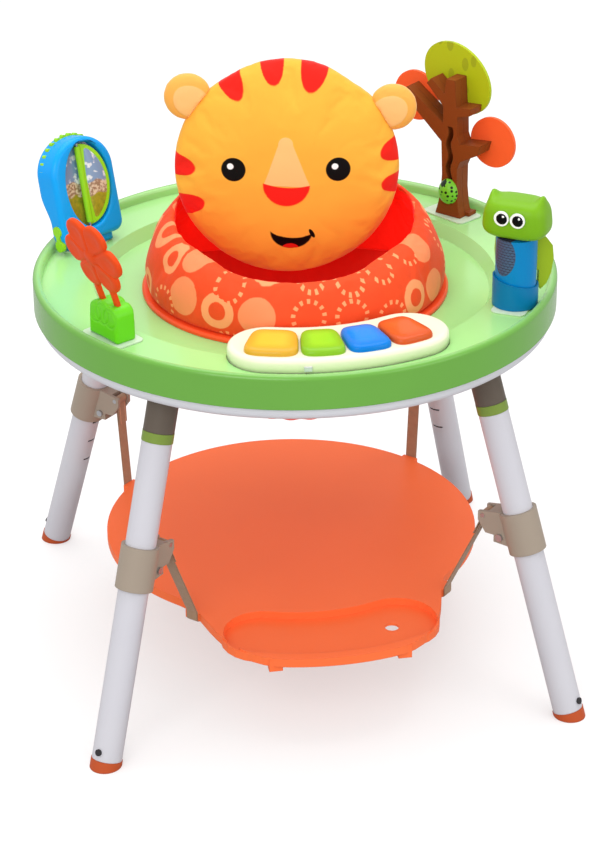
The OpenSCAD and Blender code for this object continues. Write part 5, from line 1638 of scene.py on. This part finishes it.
@dataclass(frozen=True)
class Owl:
    """Head, pupils and glints of the turning owl."""

    place: ToyPlace = ToyPlace(-30.5, 86.0)
    half: Triple = (0.043, 0.030, 0.026)
    head_z: float = 0.0952
    tuft: float = 0.013
    tuft_x: float = 0.033
    tuft_half: Pair = (0.006, 0.012)
    tuft_flare: float = 0.08
    taper: float = 0.07
    eye_x: float = 0.0108
    eye_y: float = -0.0327
    eye_z: float = 0.1276
    squint: float = 0.0006
    pupil_r: float = 0.0074
    pupil_high: float = 0.0016
    glint_r: float = 0.0017
    glint_high: float = 0.0006
    glint_off: Triple = (0.0022, -0.0011, 0.0036)
    bead_profile: Rows = ((0.9, -0.3), (1.0, -0.3), (0.99, 0.15), (0.93, 0.4), (0.8, 0.65), (0.6, 0.85),
                          (0.35, 0.96), (0.05, 1.0))

    def build_head(self, material: Material) -> Piece:
        """Build the head: a tapered block rounded by powers of sines and cosines, with a tuft at each corner.

        Args:
            material: The head's finish.

        Returns:
            The new piece.
        """
        spin, rise = ball_grid(128, 65)
        flat, up = signed_power(np.cos(rise), 0.5), signed_power(np.sin(rise), 0.62)
        x = self.half[0] * (1.0 - self.taper * up) * flat * signed_power(np.cos(spin), 0.55)
        y = self.half[1] * flat * signed_power(np.sin(spin), 0.6)
        corner = bell(np.abs(x) - self.tuft_x, self.tuft_half[0]) * bell(y, self.tuft_half[1])
        corner = corner * np.clip(up, 0.0, 1.0) ** 1.5
        z = self.head_z + self.half[2] * (1.0 + up) + self.tuft * corner
        x = x * (1.0 + self.tuft_flare * corner)
        return shell("owl_head_shell", self.place.to_world(points_at(x, y, z)),
                     material, "owl_green", "owl", "owl_head")

    def build_bead(self, name: str, at: Triple, radius: float, height: float, material: Material,
                   slot: str) -> Piece:
        """Build a domed disc on the front of the eyes: its height falls in a soft curve towards its rim.

        Its profile holds the share of the radius and the share of the height of each ring, from the back.

        Args:
            name: The piece's name.
            at: Its middle, on the face that it sits on.
            radius: Radius of its rim.
            height: Height of its dome.
            material: Its finish.
            slot: Its material slot; not used.

        Returns:
            The new piece.
        """
        share, lift = np.array(self.bead_profile).T[..., None]
        turn = full_turn(40)
        own = points_at(at[0] + radius * share * np.cos(turn), at[1] - height * lift,
                        at[2] + radius * share * np.sin(turn))
        return shell(name, self.place.to_world(own), material, slot, "owl")

    def build(self, wardrobe: Wardrobe) -> list[Piece]:
        """Build the head, two pupils and their glints.

        Args:
            wardrobe: Gives the finishes.

        Returns:
            The new pieces.
        """
        black, white = wardrobe.material(Finish.BLACK), wardrobe.material(Finish.WHITE)
        made = [self.build_head(wardrobe.material(Finish.OWL))]
        for name, side in (("left", -1.0), ("right", 1.0)):
            eye = (side * self.eye_x + self.squint, self.eye_y, self.eye_z)
            glint = tuple(e + off for e, off in zip(eye, self.glint_off))
            made += [self.build_bead(f"owl_pupil_{name}", eye, self.pupil_r, self.pupil_high, black, "dark"),
                     self.build_bead(f"owl_glint_{name}", glint, self.glint_r, self.glint_high, white,
                                     "cream")]
        return made


@dataclass(frozen=True)
class Flower:
    """Swinging flower: a crowned six-petal head on two legs."""

    place: ToyPlace = ToyPlace(210.0, 0.0)
    pivot_z: float = 0.040
    lean: float = 18.0
    rise: float = 0.080
    petals: int = 6
    petal_r: float = 0.020
    petal_reach: float = 0.035
    half_t: float = 0.0056
    dish: float = 0.0016
    groove_deep: float = 0.0018
    groove_half: float = 0.0018
    button: float = 0.004
    button_r: float = 0.0105
    bush_half: Pair = (0.029, 0.016)
    bush_edge: float = 0.005
    bush_middle_z: float = 0.022
    bush_crowns: Rows = ((-0.015, -0.007, 0.0139), (0.0, -0.004, 0.015), (0.015, -0.007, 0.0139))
    bush_rounds: Rows = ((0.015, -0.009, 0.012), (0.0, -0.007, 0.013))
    bush_groove_deep: float = 0.0013
    bush_groove_half: float = 0.0011
    bush_groove_low_z: float = 0.016
    face_rings: int = 26
    leg_x: float = 0.0145
    leg_half: Pair = (0.004, 0.0035)
    leg_bow: float = 0.0016

    def to_world(self, own: np.ndarray) -> np.ndarray:
        """Put points of the flower's frame, whose origin is its pivot, into the CAD frame."""
        return self.place.to_world(turn_x(own, -self.lean) + np.array([0.0, 0.0, self.pivot_z]))

    def rim(self, spin: np.ndarray) -> np.ndarray:
        """Reach of the flower's rim at an angle: the far side of the nearest petal's round."""
        off = self.off_petal(spin)
        ahead, beside = self.petal_reach * np.cos(off), self.petal_reach * np.sin(off)
        return ahead + np.sqrt(self.petal_r ** 2 - beside ** 2)

    def off_petal(self, spin: np.ndarray) -> np.ndarray:
        """Angle from the middle of the nearest petal; two petals stand beside the top."""
        step = math.tau / self.petals
        return spin % step - step / 2.0

    def build_head(self, material: Material) -> Piece:
        """Build the head: its rim follows the petals' rounds, its depth is a crown with a middle button.

        Each petal is dished inside a raised edge, and grooves that run out to the notches part the petals.

        Args:
            material: Its finish.

        Returns:
            The new piece.
        """
        spin, tilt = ball_grid(192, 81)
        reach = np.cos(tilt) ** 0.45 * self.rim(spin)
        off = self.off_petal(spin)
        in_petal = np.hypot(reach * np.sin(off), reach * np.cos(off) - self.petal_reach) / self.petal_r
        from_notch = (np.abs(off) - math.pi / self.petals) * reach
        relief = self.button * bell(reach, self.button_r, 6) - self.dish * bell(in_petal, 0.55, 4)
        relief = relief - self.groove_deep * bell(from_notch, self.groove_half) * (reach > 0.012)
        facing = np.clip(np.sin(tilt) * 4.0, -1.0, 1.0)
        depth = self.half_t * signed_power(np.sin(tilt), 0.5) + facing * relief
        own = points_at(reach * np.sin(spin), -depth, self.rise + reach * np.cos(spin))
        return shell("flower_head", self.to_world(own), material, "orange", "flower", "flower_petals")

    def bush_reach(self, turn: np.ndarray) -> np.ndarray:
        """Reach of the bush's outline from its middle: the farthest of a box and three rounds each way.

        Args:
            turn: Directions in the bush's upright plane.

        Returns:
            The reach along each direction.
        """
        c, s = np.cos(turn), np.sin(turn)
        middle_z = self.bush_middle_z
        wall = self.bush_half[0] / np.maximum(np.abs(c), TINY)
        level = np.where(s > 0.0, self.pivot_z - 0.008 - middle_z, middle_z) / np.maximum(np.abs(s), TINY)
        reach = np.minimum(wall, level)
        for x, from_pivot, r in self.bush_crowns:
            z = self.pivot_z + from_pivot - middle_z
            ahead = c * x + s * z
            inside = r ** 2 - x ** 2 - z ** 2 + ahead ** 2
            reach = np.maximum(reach, np.where(inside > 0.0, ahead + np.sqrt(np.maximum(inside, 0.0)), 0.0))
        return reach

    def build_bush(self, material: Material) -> Piece:
        """Build the block: a bush-shaped outline that draws in on a quarter round at its front and back.

        Grooves on the front and back follow rounds inside the bush's three crowns, alike on both sides.
        A crown or a round is its place across, its height from the pivot and its radius.

        Args:
            material: Its finish.

        Returns:
            The new piece.
        """
        turn, edge, deep_half = full_turn(180), self.bush_edge, self.bush_half[1]
        bend = quarter_turn(9)[1:, None]
        whole = self.bush_reach(turn)
        front = np.linspace(0.03, 1.0, self.face_rings)[:, None] * (whole - edge)
        side = whole - edge * (1.0 - np.sin(bend))
        reach = np.concatenate([front, side, side[::-1], front[::-1]])
        flat, curved = np.full((self.face_rings, 1), deep_half), deep_half - edge * (1.0 - np.cos(bend))
        deep = np.concatenate([flat, curved, -curved[::-1], -flat])
        x, z = reach * np.cos(turn), self.bush_middle_z + reach * np.sin(turn)
        near = np.min([np.abs(np.hypot(np.abs(x) - at, z - self.pivot_z - from_pivot) - r)
                       for at, from_pivot, r in self.bush_rounds], axis=0)
        groove = self.bush_groove_deep * bell(near, self.bush_groove_half) * (z > self.bush_groove_low_z)
        return shell("flower_bush", self.place.to_world(points_at(x, np.sign(deep) * groove - deep, z)),
                     material, "lime", "frame", "flower_block")

    def build_leg(self, name: str, side: float, material: Material) -> Piece:
        """Build a leg: a flat rounded section carried up from the pivot to the petals, bowed a little out.

        Args:
            name: The piece's name.
            side: -1 for the left, 1 for the right.
            material: Its finish.

        Returns:
            The new piece.
        """
        up = np.linspace(-0.0045, self.rise - 0.034, 30)[:, None]
        bow = self.leg_bow * np.sin(np.clip(up / 0.04, 0.0, 1.0) * math.pi)
        across, ahead = rounded(full_turn(28), 0.55)
        own = points_at(side * (self.leg_x + bow) + self.leg_half[0] * across, self.leg_half[1] * ahead, up)
        return shell(name, self.to_world(own), material, "orange", "flower", "flower_petals")

    def build(self, petals: Material, leaves: Material) -> list[Piece]:
        """Build the head, both legs and the bush that they stand in."""
        return [self.build_head(petals), self.build_leg("flower_leg_left", -1.0, petals),
                self.build_leg("flower_leg_right", 1.0, petals), self.build_bush(leaves)]


@dataclass(frozen=True)
class PageTurner:
    """Hooded blue case with an oval window, its foot, and the pictures on the page that flips in it."""

    place: ToyPlace = ToyPlace(149.0, -26.0)
    stem: float = 0.008
    lean: float = 12.0
    page_y: float = -0.0135
    page_z: float = 0.076
    page_angle: float = 14.0
    half_wide: float = 0.038
    half_tall: float = 0.056
    half_t: float = 0.0023
    frame_in: float = 0.0055
    frame_out: float = 0.0045
    case_half: float = 0.0485
    arch_half: float = 0.0522
    case_h: float = 0.142
    case_deep: float = 0.021
    case_edge: float = 0.0075
    low_r: float = 0.014
    flare: float = 0.0042
    window_x: float = 0.004
    window_z: float = 0.076
    window_half: Pair = (0.037, 0.059)
    lip: Rows = ((0.0, 0.004), (0.0006, 0.0014), (0.0016, 0.0004), (0.003, 0.0))
    recess_share: float = 0.96
    recess_y: float = -0.0058
    waist_deep: float = 0.008
    waist_z: Pair = (0.028, 0.072)
    foot_half: Pair = (0.038, 0.0105)
    foot_h: float = 0.026
    inlay_profile: Rows = ((0.02, -1.0), (0.5, -1.0), (0.97, -1.0), (1.0, -0.9), (1.0, 0.9), (0.97, 1.0),
                           (0.5, 1.0), (0.02, 1.0))

    def to_world(self, own: np.ndarray) -> np.ndarray:
        """Put points of the case's leaning frame into the CAD frame."""
        return self.place.to_world(turn_x(own, -self.lean) + np.array([0.0, 0.0, self.stem]))

    def case_reach(self, turn: np.ndarray, inset: float) -> np.ndarray:
        """Reach of the case's outline from the window's middle along each direction.

        The outline is two rounded lower corners and a half oval top, whose sides flare a little downwards.

        Args:
            turn: Directions in the case's front plane.
            inset: How far inside the case's outline it lies.

        Returns:
            The reach along each direction.
        """
        corner = np.linspace(-math.pi / 2.0, 0.0, 12)[:, None]
        top = np.linspace(0.0, math.pi, 60)[:, None]
        wide, low = self.case_half + self.flare - inset, self.low_r - inset * 0.6
        right = np.array([wide - low, inset + low]) + low * np.hstack([np.cos(corner), np.sin(corner)])
        half = np.array([self.arch_half, self.case_half]) - inset
        arch = np.array([0.0, self.case_h - self.case_half]) + half * np.hstack([np.cos(top), np.sin(top)])
        left = right[::-1] * np.array([-1.0, 1.0])
        line = evenly(np.concatenate([right, arch, left, right[:1]]), 1200)[:-1]
        line = line - np.array([self.window_x, self.window_z])
        return np.interp(turn, *self.sorted_turns(line), period=math.tau)

    def sorted_turns(self, line: np.ndarray) -> tuple[np.ndarray, np.ndarray]:
        """Direction and reach of each point of a line about the origin, in order of direction."""
        at = np.arctan2(line[:, 1], line[:, 0])
        order = np.argsort(at)
        return at[order], np.hypot(line[:, 0], line[:, 1])[order]

    def build_case(self, material: Material) -> Piece:
        """Build the case: rings from the recess over the window's lip, the rounded front edge and the flanks.

        The lip holds how far each of its rings lies outside the window and behind the front. The back of
        the case lies at a depth that draws in on a smooth step towards its waist.

        Args:
            material: The case's finish.

        Returns:
            The new piece.
        """
        turn = np.linspace(-math.pi, math.pi, 168, endpoint=False)
        bend = quarter_turn(8)
        edge, front = self.case_edge, -self.case_deep
        oval = 1.0 / np.hypot(np.cos(turn) / self.window_half[0], np.sin(turn) / self.window_half[1])
        inner, outline = self.case_reach(turn, edge), self.case_reach(turn, 0.0)
        lip = oval + self.lip[-1][0]
        height = self.window_z + outline * np.sin(turn)
        step = np.clip((height - self.waist_z[0]) / (self.waist_z[1] - self.waist_z[0]), 0.0, 1.0)
        back = self.waist_deep + (self.case_deep - self.waist_deep) * step ** 2 * (3.0 - 2.0 * step)
        flank, middle = front + edge, self.case_deep * 0.9
        rings = [(oval * self.recess_share, self.recess_y), (oval, self.recess_y)]
        rings += [(oval + outside, front + behind) for outside, behind in self.lip]
        rings += [(lip + (inner - lip) * share, front) for share in (0.25, 0.5, 0.75)]
        rings += [(self.case_reach(turn, edge * (1.0 - math.sin(b))), front + edge * (1.0 - math.cos(b)))
                  for b in bend]
        rings += [(outline, flank + (back - edge - flank) * share) for share in (0.2, 0.4, 0.6, 0.8, 1.0)]
        rings += [(self.case_reach(turn, edge * (1.0 - math.cos(b))), back - edge * (1.0 - math.sin(b)))
                  for b in bend[1:]]
        rings += [(inner * share, middle + (back - middle) * share) for share in (0.75, 0.5, 0.25, 0.02)]
        own = np.stack([points_at(self.window_x + reach * np.cos(turn), deep,
                                  self.window_z + reach * np.sin(turn)) for reach, deep in rings])
        return shell("page_case", self.to_world(own),
                     material, "blue", "frame", "turner_front", "turner_back")

    def build_foot(self, material: Material) -> Piece:
        """Build the case's foot: an upright prism on a superellipse, which stands on the toy's plate."""
        up = np.linspace(0.0003, self.foot_h, 6)[:, None]
        across, ahead = rounded(full_turn(72), 0.4)
        own = points_at(self.foot_half[0] * across, self.foot_half[1] * ahead - 0.004 + 0.2 * up, up)
        return shell("page_case_foot", self.place.to_world(own), material, "blue", "frame")

    def build(self, wardrobe: Wardrobe) -> list[Piece]:
        """Build the case, its foot and the page's pictures."""
        blue, card = wardrobe.material(Finish.BLUE), wardrobe.material(Finish.PICTURE)
        return [self.build_case(blue), self.build_foot(blue), self.build_pictures(card)]

    def build_pictures(self, material: Material) -> Piece:
        """Build the inlay: a half oval with rounded corners, a little thicker than the page.

        Its profile holds the share of the size and of the half thickness of each ring, from the front.

        Args:
            material: The printed card.

        Returns:
            The new piece.
        """
        middle = (self.frame_in + self.half_wide - self.frame_out) / 2.0
        turn = full_turn(96)
        tall = (self.half_tall - 0.008) * signed_power(np.sin(turn), 0.8)
        far = self.half_wide * np.sqrt(np.clip(1.0 - (tall / self.half_tall) ** 2, 0.0, 1.0)) - self.frame_out
        span = (far - self.frame_in) / 2.0
        x = self.frame_in + span + span * signed_power(np.cos(turn), 0.55)
        share, deep = np.array(self.inlay_profile).T[..., None]
        own = points_at(middle + (x - middle) * share, self.half_t * deep, tall * share)
        flipped = turn_z(own, -self.page_angle) + np.array([0.0, self.page_y, self.page_z])
        return shell("page_pictures", self.to_world(flipped), material, "cream", "page")


def build_all(frame: dict) -> None:
    """Build every sub-assembly in order and report each piece.
    """
    wardrobe = Wardrobe()
    wardrobe.dress_cad(frame["nodes"])
    LOG.info("CAD nodes dressed")
    print_cloth = RingPrintCloth(linear(240, 76, 34), linear(255, 166, 112), linear(252, 34, 18))
    lining = wardrobe.material(Finish.LINING)
    seat = SeatFabric()
    for piece in (seat.build_pad(Stuffing(), print_cloth.material("ring_print")), seat.build_sling(lining),
                  seat.build_crotch_pad(Stuffing(voxel=0.004, cap=0.003), lining)):
        LOG.info("built %s", piece.name)
    face = FaceCloth(linear(250, 178, 64), linear(248, 196, 124), linear(240, 34, 24), linear(7, 5, 6),
                     linear(250, 250, 250)).material("face_cloth")
    ear_cloth = EarCloth(linear(247, 172, 72), linear(248, 190, 116)).material("ear_cloth")
    head = HeadCushion()
    LOG.info("built %s", head.build_head(Stuffing(cap=0.009), face).name)
    for side in (-1.0, 1.0):
        LOG.info("built %s", head.build_ear(side, ear_cloth, Stuffing(voxel=0.004, cap=0.004)).name)
    webbing = WebbingCloth(linear(168, 134, 104)).material("webbing")
    drum = ScallopPrint(linear(0, 126, 188), linear(52, 44, 58), linear(70, 92, 124),
                        (0.2628, -0.1548, 0.604), -55.0)
    wardrobe.put_on(frame["nodes"]["owl_drum"], drum.material("owl_drum_print"))
    toys = [*BoardStraps().build(webbing), *Piano().build(wardrobe.material(Finish.CREAM)),
            *Owl().build(wardrobe),
            *Flower().build(wardrobe.material(Finish.FLOWER), wardrobe.material(Finish.GRASS)),
            *PageTurner().build(wardrobe)]
    for piece in toys:
        LOG.info("built %s", piece.name)


def main() -> None:
    """Load the frame, set up the studio and build the pieces."""
    logging.basicConfig(level=logging.INFO, format="%(message)s")
    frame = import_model()
    Studio().set_up()
    build_all(frame)


if __name__ == "__main__":
    main()
